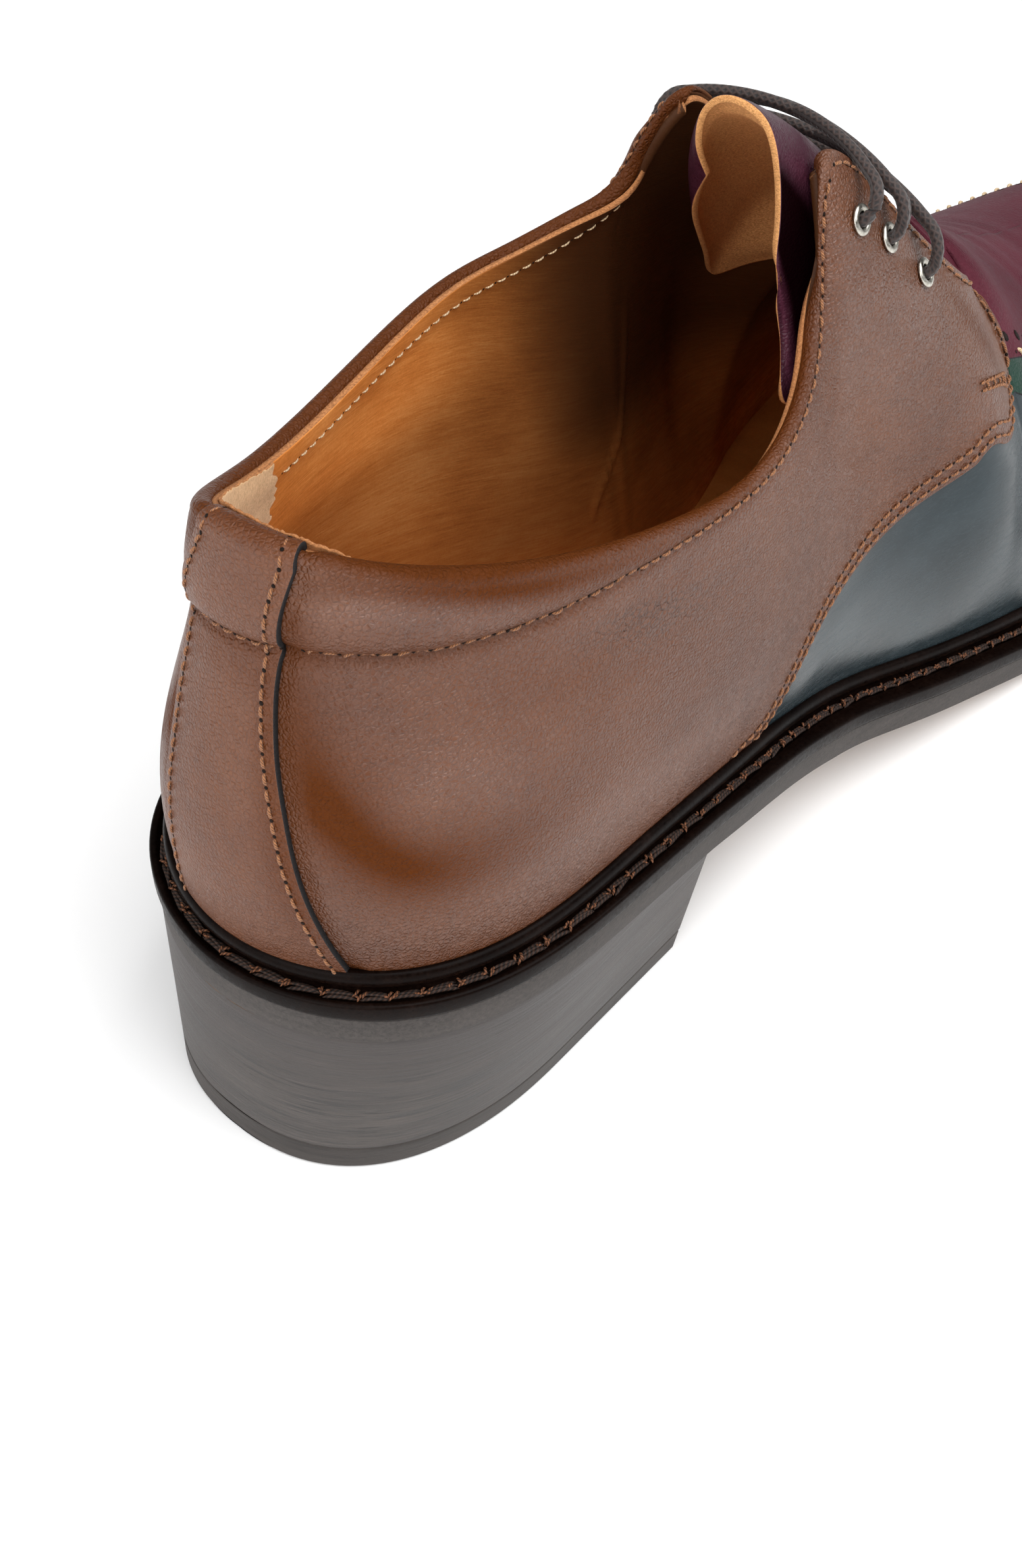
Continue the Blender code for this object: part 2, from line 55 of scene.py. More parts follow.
# feather x, y; edge x, y, z; slope and pull at the sole; slope and pull at the edge
LATERAL = (
    (5.2, 0.0, 11.6, 0.0, 101.2, 20, 25, -4, 20),
    (12.5, -18.5, 15.6, -11.8, 100.3, 19, 25, -3, 20),
    (30.0, -27.4, 31.0, -19.6, 94.2, 17, 24, 2, 18),
    (52.0, -28.3, 52.0, -23.6, 87.4, 13, 22.1, 7.3, 16.8),
    (75.0, -27.4, 74.0, -25.0, 82.6, 10, 19.9, 10.1, 15.2),
    (92.0, -26.2, 88.5, -24.0, 83.6, 9, 21.4, 14.2, 16),
    (104.0, -26.0, 98.5, -20.6, 88.6, 9, 15.6, 22, 20.8),
    (112.0, -26.6, 104.4, -15.6, 98.4, 9, 26, 34.1, 14),
    (120.0, -28.0, 110.0, -11.4, 112.0, 9, 27.2, 39.3, 16),
    (132.0, -30.6, 128.0, -14.2, 96.6, 9, 19.8, 50.7, 25.3),
    (144.0, -32.8, 144.5, -18.6, 80.6, 9, 22.5, 46.7, 28.1),
    (157.0, -35.2, 158.0, 0.0, 77.4, 10, 22, 90, 27),
    (173.0, -37.6, 174.0, 1.5, 67.6, 12, 17.5, 90, 23),
    (200.0, -38.8, 204.0, 4.0, 52.4, 14, 14, 90, 25),
    (232.0, -33.2, 233.0, 6.0, 44.0, 15, 13.5, 90, 21),
    (258.0, -22.0, 250.0, 7.0, 40.4, 16, 13, 90, 17),
    (272.0, -8.0, 255.0, 7.5, 39.4, 16, 12.5, 90, 14),
)
TOE = (276.0, 8.0, 256.0, 7.5, 39.1, 16, 12.5, 90, 13.5)
MEDIAL = (
    (12.0, 18.0, 15.4, 11.6, 98.2, 16, 25, -3, 20),
    (28.0, 26.6, 30.4, 19.4, 91.6, 14, 24, 2, 18),
    (50.0, 27.6, 51.0, 24.2, 90.4, 11, 21.6, 8.9, 17.2),
    (74.0, 24.6, 74.0, 28.0, 91.4, 6, 20.6, 5.4, 14.2),
    (92.0, 21.6, 88.5, 26.6, 92.4, 3, 19.5, 5.5, 17.1),
    (104.0, 20.6, 98.5, 22.4, 95.6, 2, 23.1, 20.2, 14.4),
    (112.0, 20.8, 104.6, 16.6, 103.0, 2, 21.9, 46.6, 15.4),
    (120.0, 21.8, 110.0, 12.0, 113.6, 2, 20.8, 45.5, 23.4),
    (132.0, 24.4, 128.0, 15.0, 98.0, 4, 20.7, 50.2, 25.3),
    (145.0, 28.6, 144.5, 19.4, 82.0, 6, 21.7, 39.2, 30),
    (158.0, 33.4, 158.0, 0.0, 77.4, 8, 22, 90, 26),
    (174.0, 39.0, 174.0, 1.5, 67.6, 11, 17.5, 90, 24),
    (202.0, 43.6, 204.0, 4.0, 52.4, 14, 14.5, 90, 28),
    (233.0, 40.4, 233.0, 6.0, 44.0, 15, 13.5, 90, 23),
    (258.0, 31.4, 250.0, 7.0, 40.4, 16, 13, 90, 18),
    (271.5, 20.8, 255.0, 7.5, 39.4, 16, 12.5, 90, 14),
)
THROAT, LAST = 11, len(LATERAL)
WELT_TOP = (
    (0, 38.4), (20, 38.2), (40, 37.1), (60, 34.4), (80, 30.4), (100, 25.5), (120, 20.3), (140, 15.6),
    (160, 11.5), (180, 8.6), (200, 7.4), (220, 7.9), (240, 10.2), (260, 13.8), (280, 18.4), (300, 23.6),
)
HEEL_FOOT = dict(back=0.4, half=28.2, round=39.0, power=2.35, breast=68.0)
HEEL_HEAD = dict(back=0.95, half=32.35, round=41.6, power=2.26, breast=70.5)
HEEL_HEAD_Z, BREAST_HOLLOW = 30.0, 3.0
TONGUE = ((7.75, 0.60, 0.77), (8.3, 0.60, 0.77), (9.0, 0.64, 0.78), (10.0, 0.70, 0.80), (11.0, 0.74, 0.80), (11.6, 0.80, 0.82))
TONGUE_CURL, TONGUE_WING, TONGUE_NARROW, TONGUE_TOP = 5.0, 6.0, 0.84, 9.0
TONGUE_TUCK = ((0, 1.6), (1, 2.5), (2, 3.3), (3, 3.8), (4, 2.4), (5, 0.9))
EYELETS = (8.97, 8.58, 8.20)


def spline(knots, values):
    """A natural cubic through rows of values."""
    x, y = np.asarray(knots, float), np.asarray(values, float)
    n, h = len(x), np.diff(x)
    a, b = np.eye(n), np.zeros(y.shape)
    for i in range(1, n - 1):
        a[i, i - 1], a[i, i], a[i, i + 1] = h[i - 1], 2 * (h[i - 1] + h[i]), h[i]
        b[i] = 6 * ((y[i + 1] - y[i]) / h[i] - (y[i] - y[i - 1]) / h[i - 1])
    m = np.linalg.solve(a, b.reshape(n, -1)).reshape(y.shape)

    def at(q):
        q = np.asarray(q, float)
        i = np.clip(np.searchsorted(x, q, side="right") - 1, 0, n - 2)
        shape = q.shape + (1,) * (y.ndim - 1)
        w, t = h[i].reshape(shape), (q - x[i]).reshape(shape)
        s = w - t
        return (s**3 * m[i] + t**3 * m[i + 1]) / (6 * w) + (y[i] / w - m[i] * w / 6) * s + (y[i + 1] / w - m[i + 1] * w / 6) * t

    return at


welt_top = spline(*zip(*WELT_TOP))
LOOP = np.array(LATERAL + (TOE,) + MEDIAL[::-1], float)
AROUND = len(LOOP)
sections = spline(np.arange(-6, AROUND + 6), np.vstack([LOOP[-6:], LOOP, LOOP[:6]]))
RIDGE = np.array(LATERAL[THROAT:] + (TOE,), float)[:, [2, 4]]
RIDGE = np.vstack([RIDGE, RIDGE[-1] + 12.0 * np.array([1.0, -0.32])])


def section(s, side):
    s = np.asarray(s, float)
    place, other = (s, AROUND - s) if side < 0 else (AROUND - s, s)
    c = sections(place).copy()
    ridge = (s >= THROAT)[..., None]
    c[..., 2:5] = np.where(ridge, (c[..., 2:5] + sections(other)[..., 2:5]) / 2, c[..., 2:5])
    d = sections(place + 0.01)[..., :2] - sections(place - 0.01)[..., :2]
    d /= np.linalg.norm(d, axis=-1, keepdims=True)
    return c, np.stack([-d[..., 1], d[..., 0]], -1)


def ridge_slope(s, x):
    fall = (np.interp(x + 7, *RIDGE.T) - np.interp(x - 7, *RIDGE.T)) / 14
    return np.where(np.asarray(s) >= THROAT, fall, 0.0)


def shell(s, v, side):
    """A point on the upper's outer face: section s, from the sole (v = 0) to the top edge (v = 1)."""
    s, v = np.broadcast_arrays(np.asarray(s, float), np.asarray(v, float))
    c, inward = section(s, side)
    fx, fy, ex, ey, ez, lean_out, pull_low, lean_in, pull_top = np.moveaxis(c, -1, 0)
    low = np.stack([fx, fy, welt_top(fx) - FEATHER_DROP], -1)
    edge = np.stack([ex, ey, ez], -1)
    up = np.array([0.0, 0.0, 1.0])
    across = np.concatenate([inward, (ridge_slope(s, ex) * inward[..., 0])[..., None]], -1)
    level = np.concatenate([inward, np.zeros(inward.shape[:-1] + (1,))], -1)
    a, b = np.radians(lean_out)[..., None], np.radians(lean_in)[..., None]
    low_pull = low + pull_low[..., None] * (np.cos(a) * up - np.sin(a) * level)
    top_pull = edge - pull_top[..., None] * (np.cos(b) * up + np.sin(b) * across)
    v = v[..., None]
    return (1 - v) ** 3 * low + 3 * v * (1 - v) ** 2 * low_pull + 3 * v**2 * (1 - v) * top_pull + v**3 * edge


def unit(a):
    return a / np.maximum(np.linalg.norm(a, axis=-1, keepdims=True), 1e-12)


def outward(s, v, side):
    s, v = np.broadcast_arrays(np.asarray(s, float), np.asarray(v, float))
    along = shell(np.clip(s + 0.004, 0, LAST), v, side) - shell(np.clip(s - 0.004, 0, LAST), v, side)
    rise = shell(s, np.minimum(v + 0.004, 1), side) - shell(s, np.maximum(v - 0.004, 0), side)
    return unit(np.cross(along, rise) * (1 if side < 0 else -1))


def rib_up(s, v, side):
    """Direction up the rib."""
    return unit(shell(s, np.minimum(np.asarray(v) + 0.004, 1), side) - shell(s, np.maximum(np.asarray(v) - 0.004, 0), side))


def around(sub):
    steps = np.linspace(0, LAST, LAST * sub + 1)
    return [(s, -1) for s in steps] + [(s, 1) for s in steps[-2:0:-1]]


def outline(s, side, out):
    c, inward = section(s, side)
    return c[..., :2] - np.asarray(out)[..., None] * inward


def welt_width(x):
    return WELT_HEEL + (WELT_FORE - WELT_HEEL) * np.clip((x - 70) / 35, 0, 1)


def welt_edge(s, side, inset=0.0):
    x = section(s, side)[0][..., 0]
    return outline(s, side, welt_width(x) - inset)


rim = np.array([welt_edge(s, side) for s, side in around(12)])
MIDDLE = np.array([*((rim.min(0) + rim.max(0)) / 2), 0.0])


def placed(points):
    return (np.asarray(points, float) - MIDDLE) * MM


def smooth(a, b, x):
    t = np.clip((np.asarray(x, float) - a) / (b - a), 0, 1)
    return t * t * (3 - 2 * t)


# ---------------------------------------------------------------- camera
EYE = np.array([-98.22, -125.74, 237.84])
RIGHT, UP, AHEAD = (np.array(a) for a in ((0.6371, -0.7704, 0.0225), (0.5498, 0.4748, 0.6872), (0.5402, 0.4255, -0.7261)))
lens = bpy.data.cameras.new("camera")
lens.lens, lens.sensor_width, lens.clip_start = 44.345, 36.0, 0.02
camera = bpy.data.objects.new("camera", lens)
bpy.context.scene.collection.objects.link(camera)
turn = Matrix(np.column_stack([RIGHT, UP, -AHEAD]).tolist()).to_quaternion().to_matrix().to_4x4()
camera.matrix_world = Matrix.Translation(Vector(placed(EYE))) @ turn
bpy.context.scene.camera = camera

# ---------------------------------------------------------------- materials
LOOKS = {}


class Look:
    """A Principled material and short ways to add nodes to it."""

    def __init__(self, name, **sockets):
        self.material = bpy.data.materials.new(name)
        self.material.use_nodes = True
        self.tree = self.material.node_tree
        self.shader = self.tree.nodes["Principled BSDF"]
        for key, value in sockets.items():
            self.shader.inputs[key.replace("_", " ")].default_value = value
        LOOKS[name] = self.material

    def node(self, kind, **settings):
        made = self.tree.nodes.new(kind)
        for key, value in settings.items():
            setattr(made, key, value)
        return made

    def link(self, a, b):
        self.tree.links.new(a, b)

    def put(self, socket, value):
        if hasattr(value, "links"):
            self.link(value, socket)
        else:
            socket.default_value = value

    def where(self, scale=(1, 1, 1), turn=(0, 0, 0), attribute=None):
        """Object coordinates in millimetres, or a stored vector, stretched and turned."""
        if attribute:
            source = self.node("ShaderNodeAttribute", attribute_name=attribute).outputs["Vector"]
            k = 1.0
        else:
            source = self.node("ShaderNodeTexCoord").outputs["Object"]
            k = 1000.0
        m = self.node("ShaderNodeMapping")
        m.inputs["Scale"].default_value = tuple(k * x for x in scale)
        m.inputs["Rotation"].default_value = tuple(math.radians(x) for x in turn)
        self.link(source, m.inputs["Vector"])
        return m.outputs["Vector"]

    def noise(self, vector, scale, detail=4.0, rough=0.55, distortion=0.0):
        n = self.node("ShaderNodeTexNoise")
        n.inputs["Scale"].default_value = scale
        n.inputs["Detail"].default_value = detail
        n.inputs["Roughness"].default_value = rough
        n.inputs["Distortion"].default_value = distortion
        self.link(vector, n.inputs["Vector"])
        return n.outputs["Fac"]

    def cells(self, vector, scale, feature="F1", out="Distance"):
        n = self.node("ShaderNodeTexVoronoi", feature=feature)
        n.inputs["Scale"].default_value = scale
        self.link(vector, n.inputs["Vector"])
        return n.outputs[out]

    def maths(self, op, a, b=0.0, clamp=False):
        n = self.node("ShaderNodeMath", operation=op, use_clamp=clamp)
        self.put(n.inputs[0], a)
        self.put(n.inputs[1], b)
        return n.outputs[0]

    def span(self, value, a, b, c=0.0, d=1.0):
        n = self.node("ShaderNodeMapRange")
        self.link(value, n.inputs["Value"])
        for key, x in (("From Min", a), ("From Max", b), ("To Min", c), ("To Max", d)):
            n.inputs[key].default_value = x
        return n.outputs["Result"]

    def ramp(self, value, *stops):
        n = self.node("ShaderNodeValToRGB")
        e = n.color_ramp.elements
        while len(e) < len(stops):
            e.new(0.5)
        for k, (at, colour) in zip(e, stops):
            k.position, k.color = at, (*colour, 1.0)
        self.link(value, n.inputs["Fac"])
        return n.outputs["Color"]

    def mix(self, fac, a, b, how="MIX"):
        n = self.node("ShaderNodeMix", data_type="RGBA", blend_type=how)
        self.put(n.inputs["Factor"], fac)
        colours = [s for s in n.inputs if s.type == "RGBA"]
        for socket, value in zip(colours, (a, b)):
            self.put(socket, value if hasattr(value, "links") else (*value, 1.0))
        return [s for s in n.outputs if s.type == "RGBA"][0]

    def attribute(self, name):
        return self.node("ShaderNodeAttribute", attribute_name=name).outputs["Fac"]

    def bump(self, height, distance, strength=1.0, normal=None):
        n = self.node("ShaderNodeBump")
        n.inputs["Distance"].default_value = distance * MM
        n.inputs["Strength"].default_value = strength
        self.link(height, n.inputs["Height"])
        if normal is not None:
            self.link(normal, n.inputs["Normal"])
        return n.outputs["Normal"]

    def finish(self, colour=None, roughness=None, normal=None):
        for key, value in (("Base Color", colour), ("Roughness", roughness), ("Normal", normal)):
            if value is not None:
                self.put(self.shader.inputs[key], value)
        return self.material


def leather(name, dark, mid, light, painted_shade, rough=(0.36, 0.48), grain=0.05, specular=(0.85, 0.05)):
    """Smooth calf: faint clouds and a fine pebbled grain; the stored shade is painted shade and sheen: above nought it
    deepens the colour towards the shade tone and dulls the sheen, below nought it brightens the sheen as a painted
    highlight.
    """
    look = Look(name, IOR=1.5)
    at = look.where()
    clouds = look.noise(at, 0.05, 3.0, 0.5)
    mottle = look.noise(at, 0.5, 5.0, 0.62)
    pebble = look.cells(at, 1.5, "DISTANCE_TO_EDGE")
    shade = look.attribute("shade")
    value = look.maths("ADD", look.maths("MULTIPLY", clouds, 0.6), look.maths("MULTIPLY", mottle, 0.4))
    tone = look.ramp(value, (0.36, dark), (0.5, mid), (0.66, light))
    tone = look.mix(look.span(pebble, 0.0, 0.12, 0.45, 0.0), tone, dark)
    tone = look.mix(shade, tone, painted_shade)
    split = look.node("ShaderNodeSeparateXYZ")
    look.link(look.node("ShaderNodeAttribute", attribute_name="lay").outputs["Vector"], split.inputs[0])
    crazed = look.maths("MULTIPLY", look.span(look.cells(look.where((1.0, 1.0, 1.45), (0, 16, 0)), 0.78, "DISTANCE_TO_EDGE"), 0.0, 0.20, 1.0, 0.0), split.outputs["Z"])
    tone = look.mix(look.maths("MULTIPLY", crazed, 0.62), tone, tuple(0.42 * c for c in dark))
    look.link(look.span(shade, -0.6, 1.0, *specular), look.shader.inputs["Specular IOR Level"])
    hills = look.bump(look.span(pebble, 0.0, 0.30), grain * 1.6, 0.7)
    grains = look.bump(look.noise(at, 1.3, 4.0, 0.62), grain * 2.4, 0.7, hills)
    lines = look.noise(look.where((0.5, 0.5, 1.2), (0, 20, 0)), 0.7, 4.0, 0.6, 0.6)
    folds = look.bump(lines, grain * 2.2, 0.4, grains)
    return look.finish(tone, look.span(mottle, 0.3, 0.7, *rough), look.bump(look.span(crazed, 0.0, 1.0, 1.0, 0.0), 0.16, 0.8, folds))


def raw_edge(name, dark, light):
    """Cut edge of leather: fibrous, matte."""
    look = Look(name, IOR=1.4)
    at = look.where((1, 1, 2.2))
    fibre = look.noise(at, 3.0, 6.0, 0.7)
    tone = look.ramp(fibre, (0.32, dark), (0.62, light))
    return look.finish(tone, 0.85, look.bump(fibre, 0.12, 0.9))


def thread(name, dark, light, twist=1.5, sheen=0.12):
    """Sewing thread, its twist as slanting ridges along the stored lay."""
    look = Look(name, IOR=1.4, Sheen_Weight=sheen)
    lay = look.where((1, 1, 1), (0, 0, 0), "lay")
    w = look.node("ShaderNodeTexWave", wave_type="BANDS", bands_direction="DIAGONAL")
    w.inputs["Scale"].default_value = twist
    w.inputs["Distortion"].default_value = 0.8
    look.link(lay, w.inputs["Vector"])
    fuzz = look.noise(look.where(), 2.6, 4.0, 0.65)
    tone = look.ramp(look.maths("ADD", look.maths("MULTIPLY", w.outputs["Fac"], 0.4), look.maths("MULTIPLY", fuzz, 0.6)), (0.3, dark), (0.68, light))
    return look.finish(tone, 0.72, look.bump(w.outputs["Fac"], 0.08, 0.7))


def lining_look(name, dark, mid, light):
    """Tan glove leather with drawn-out hair marks along the stored lay; the stored shade darkens it towards near black
    as painted shade.
    """
    look = Look(name, IOR=1.42, Specular_IOR_Level=0.25)
    at = look.where()
    hairs = look.noise(look.where((0.16, 2.4, 1.0), (0, 0, 32), "lay"), 1.5, 6.0, 0.68, 0.5)
    wisps = look.noise(look.where((0.05, 0.5, 1.0), (0, 0, 38), "lay"), 1.2, 5.0, 0.65, 1.2)
    clouds = look.noise(at, 0.06, 3.0, 0.55)
    fleck = look.noise(at, 2.2, 4.0, 0.6)
    value = look.maths("ADD", look.maths("MULTIPLY", hairs, 0.30), look.maths("MULTIPLY", wisps, 0.26))
    value = look.maths("ADD", value, look.maths("MULTIPLY", clouds, 0.30))
    value = look.maths("ADD", value, look.maths("MULTIPLY", fleck, 0.14))
    tone = look.ramp(value, (0.38, dark), (0.5, mid), (0.63, light))
    tone = look.mix(look.attribute("shade"), tone, (0.040, 0.013, 0.004))
    soft = look.bump(hairs, 0.10, 0.5)
    return look.finish(tone, look.span(hairs, 0.3, 0.7, 0.66, 0.5), look.bump(fleck, 0.06, 0.6, soft))


# the fifth colour of each leather is the tone that its painted shade mixes to
BROWN = leather("brown calf", (0.086, 0.0257, 0.0082), (0.112, 0.0356, 0.0120), (0.136, 0.0464, 0.0175), (0.085, 0.0228, 0.0048), rough=(0.30, 0.42), grain=0.13, specular=(0.92, 0.03))
STRAP = leather("brown calf strap", (0.092, 0.0268, 0.0080), (0.119, 0.0372, 0.0118), (0.144, 0.0484, 0.0172), (0.090, 0.0240, 0.0050), rough=(0.33, 0.45), grain=0.13, specular=(0.62, 0.04))
BURGUNDY = leather("burgundy calf", (0.056, 0.009, 0.016), (0.080, 0.015, 0.025), (0.104, 0.024, 0.036), (0.030, 0.004, 0.008), rough=(0.46, 0.58), grain=0.05, specular=(0.09, 0.02))
TONGUE_SKIN = leather("burgundy tongue calf", (0.085, 0.018, 0.036), (0.115, 0.028, 0.054), (0.15, 0.044, 0.078), (0.0040, 0.0006, 0.0012), rough=(0.3, 0.42), grain=0.05, specular=(0.70, 0.01))
GREEN = leather("green calf", (0.006, 0.024, 0.015), (0.010, 0.036, 0.024), (0.017, 0.050, 0.035), (0.003, 0.010, 0.007), rough=(0.45, 0.55), grain=0.05, specular=(0.24, 0.02))
RAW = raw_edge("tan cut edge", (0.18, 0.064, 0.019), (0.50, 0.212, 0.077))
# a lighter copy of the tan cut edge for the tongue: painted light on its edge, which lies in shade inside the shoe
TONGUE_EDGE = raw_edge("tongue cut edge", (0.30, 0.115, 0.030), (0.78, 0.40, 0.15))
CUT = raw_edge("brown cut edge", (0.090, 0.031, 0.010), (0.235, 0.088, 0.030))
BLACK_EDGE = raw_edge("inked cut edge", (0.003, 0.003, 0.004), (0.016, 0.015, 0.016))
TAN = lining_look("tan lining", (0.50, 0.150, 0.026), (0.70, 0.245, 0.052), (0.88, 0.375, 0.105))
THREAD = thread("tan thread", (0.128, 0.048, 0.017), (0.335, 0.142, 0.058))
CREAM_THREAD = thread("cream thread", (0.42, 0.27, 0.13), (0.74, 0.58, 0.38))
WELT_THREAD = thread("waxed welt thread", (0.004, 0.0018, 0.0011), (0.036, 0.0155, 0.0085), 0.9, 0.0)
# the knot thread is a lighter copy of the welt thread: a painted highlight on the crossing loops
KNOT_THREAD = thread("welt thread knot", (0.026, 0.009, 0.0035), (0.185, 0.068, 0.027), 1.2, 0.0)


# near black for needle holes, punched holes and eyelet openings: painted shade, the holes being shallow closed dimples
def make_hole():
    look = Look("needle hole", IOR=1.3)
    return look.finish(look.ramp(look.noise(look.where(), 2.0), (0.3, (0.004, 0.002, 0.001)), (0.7, (0.014, 0.006, 0.003))), 0.9)


HOLE = make_hole()


def make_teal():
    """Polished dark teal calf with faint brush marks."""
    look = Look("teal polished calf", IOR=1.5, Coat_Roughness=0.09, Coat_IOR=1.5)
    at = look.where()
    brush = look.noise(look.where((0.10, 0.9, 0.9), (0, 35, 18)), 1.6, 6.0, 0.7, 0.4)
    clouds = look.noise(at, 0.08, 3.0)
    tone = look.ramp(look.maths("ADD", look.maths("MULTIPLY", clouds, 0.6), look.maths("MULTIPLY", brush, 0.4)), (0.35, (0.0115, 0.0185, 0.022)), (0.65, (0.0255, 0.038, 0.044)))
    fine = look.noise(at, 1.1, 4.0, 0.6)
    normal = look.bump(fine, 0.03, 0.5, look.bump(brush, 0.035, 0.6))
    look.link(look.bump(brush, 0.03, 0.55), look.shader.inputs["Coat Normal"])
    split = look.node("ShaderNodeSeparateXYZ")
    look.link(at, split.inputs[0])
    # painted sheen: coat and specular are stronger low on the vamp, which lightens its lower part, and weaker from the
    # waist forward, which keeps a highlight off the vamp there
    sheen_fade = look.span(split.outputs["X"], -22.0, 3.0, 1.0, 0.42)
    look.link(look.maths("MULTIPLY", look.span(split.outputs["Z"], 16.0, 46.0, 0.50, 0.14), sheen_fade), look.shader.inputs["Coat Weight"])
    look.link(look.maths("MULTIPLY", look.span(split.outputs["Z"], 16.0, 46.0, 0.40, 0.20), sheen_fade), look.shader.inputs["Specular IOR Level"])
    return look.finish(tone, look.span(brush, 0.3, 0.7, 0.16, 0.34), normal)


TEAL = make_teal()


def make_welt():
    look = Look("black-brown welting", IOR=1.48, Specular_IOR_Level=0.05)
    at = look.where()
    fine = look.noise(at, 1.6, 5.0, 0.65)
    clouds = look.noise(at, 0.12, 3.0)
    tone = look.ramp(look.maths("ADD", look.maths("MULTIPLY", clouds, 0.5), look.maths("MULTIPLY", fine, 0.5)), (0.36, (0.0018, 0.0007, 0.0005)), (0.55, (0.0046, 0.0020, 0.0013)), (0.7, (0.0098, 0.0048, 0.0034)))
    return look.finish(tone, look.span(fine, 0.3, 0.7, 0.24, 0.46), look.bump(fine, 0.05, 0.6))


WELTING = make_welt()


def make_sole_edge(name, dark, light, streak, rough=(0.40, 0.60), grit=0.0, crown=0.0, specular=0.4):
    """Dyed and burnished sole leather: fine streaks run level, with specks; grit makes it sandy, crown darkens it towards the welt."""
    look = Look(name, IOR=1.46, Specular_IOR_Level=specular)
    level = look.noise(look.where((0.055, 0.055, 1.25)), 1.3, 7.0, 0.74, 0.15)
    thin = look.noise(look.where((0.10, 0.10, 2.6)), 1.0, 4.0, 0.7)
    broad = look.noise(look.where((0.03, 0.03, 0.35)), 1.0, 4.0, 0.6)
    sand = look.noise(look.where(), 1.7, 5.0, 0.75)
    lines = look.maths("ADD", look.maths("MULTIPLY", level, 1 - grit), look.maths("MULTIPLY", sand, grit))
    value = look.maths("ADD", look.maths("MULTIPLY", lines, streak), look.maths("MULTIPLY", broad, 1 - streak))
    tone = look.ramp(value, (0.36, dark), (0.64, light))
    tone = look.mix(look.span(thin, 0.33, 0.42, 0.85 * (1 - grit), 0.0), tone, tuple(0.30 * c for c in dark))
    tone = look.mix(look.span(thin, 0.60, 0.70, 0.0, 0.50 * (1 - grit)), tone, tuple(1.7 * c for c in light))
    if crown:
        split = look.node("ShaderNodeSeparateXYZ")
        look.link(look.where(), split.inputs[0])
        tone = look.mix(look.span(split.outputs["Z"], 14.0, 29.0, 0.0, crown), tone, (0.020, 0.0125, 0.0110))
    normal = look.bump(lines, 0.16, 0.8)
    return look.finish(tone, look.span(lines, 0.3, 0.7, *rough), look.bump(sand, 0.06, 0.5, normal))


STACK = make_sole_edge("stacked heel leather", (0.0095, 0.0068, 0.0056), (0.064, 0.0510, 0.0446), 0.76, crown=0.60, specular=0.62)
SOLE_EDGE = make_sole_edge("sole edge leather", (0.018, 0.0142, 0.0125), (0.074, 0.063, 0.057), 0.8, (0.55, 0.75), 0.8)
LIFT = make_sole_edge("lift rubber", (0.018, 0.0138, 0.0120), (0.060, 0.050, 0.0445), 0.5, (0.45, 0.65), 0.3)


def make_suede():
    look = Look("cream suede", IOR=1.35, Sheen_Weight=0.15, Sheen_Roughness=0.6)
    nap = look.noise(look.where(), 2.4, 6.0, 0.7)
    clouds = look.noise(look.where(), 0.3, 3.0)
    tone = look.ramp(look.maths("ADD", look.maths("MULTIPLY", nap, 0.6), look.maths("MULTIPLY", clouds, 0.4)), (0.34, (0.55, 0.318, 0.142)), (0.66, (0.88, 0.575, 0.302)))
    return look.finish(tone, 0.95, look.bump(nap, 0.14, 0.9))


SUEDE = make_suede()


def make_nickel():
    look = Look("nickel", Metallic=1.0)
    wear = look.noise(look.where(), 1.5, 5.0, 0.6)
    return look.finish(look.ramp(wear, (0.35, (0.38, 0.36, 0.31)), (0.65, (0.62, 0.60, 0.54))), look.span(wear, 0.3, 0.7, 0.2, 0.38), look.bump(wear, 0.03, 0.5))


NICKEL = make_nickel()


def make_lace():
    look = Look("waxed lace", IOR=1.45, Sheen_Weight=0.2)
    lay = look.where((1, 1, 1), (0, 0, 0), "lay")
    a, b = (look.node("ShaderNodeTexWave", wave_type="BANDS", bands_direction="DIAGONAL") for _ in range(2))
    for w, flip in ((a, 1), (b, -1)):
        w.inputs["Scale"].default_value = 0.55
        m = look.node("ShaderNodeMapping")
        m.inputs["Scale"].default_value = (1, flip, 1)
        look.link(lay, m.inputs["Vector"])
        look.link(m.outputs["Vector"], w.inputs["Vector"])
    weave = look.maths("MAXIMUM", a.outputs["Fac"], b.outputs["Fac"])
    tone = look.ramp(weave, (0.3, (0.006, 0.003, 0.003)), (0.9, (0.034, 0.018, 0.014)))
    return look.finish(tone, 0.6, look.bump(weave, 0.12, 0.8))


LACE = make_lace()


def make_outsole_face():
    look = Look("leather outsole face", IOR=1.45)
    at = look.where()
    fibre = look.noise(at, 0.8, 6.0, 0.68)
    clouds = look.noise(at, 0.05, 3.0)
    tone = look.ramp(look.maths("ADD", look.maths("MULTIPLY", fibre, 0.5), look.maths("MULTIPLY", clouds, 0.5)), (0.36, (0.20, 0.105, 0.050)), (0.64, (0.34, 0.20, 0.105)))
    return look.finish(tone, look.span(fibre, 0.3, 0.7, 0.42, 0.6), look.bump(fibre, 0.06, 0.6))


OUTSOLE_FACE = make_outsole_face()

# ---------------------------------------------------------------- mesh helpers
SHOWN = {}


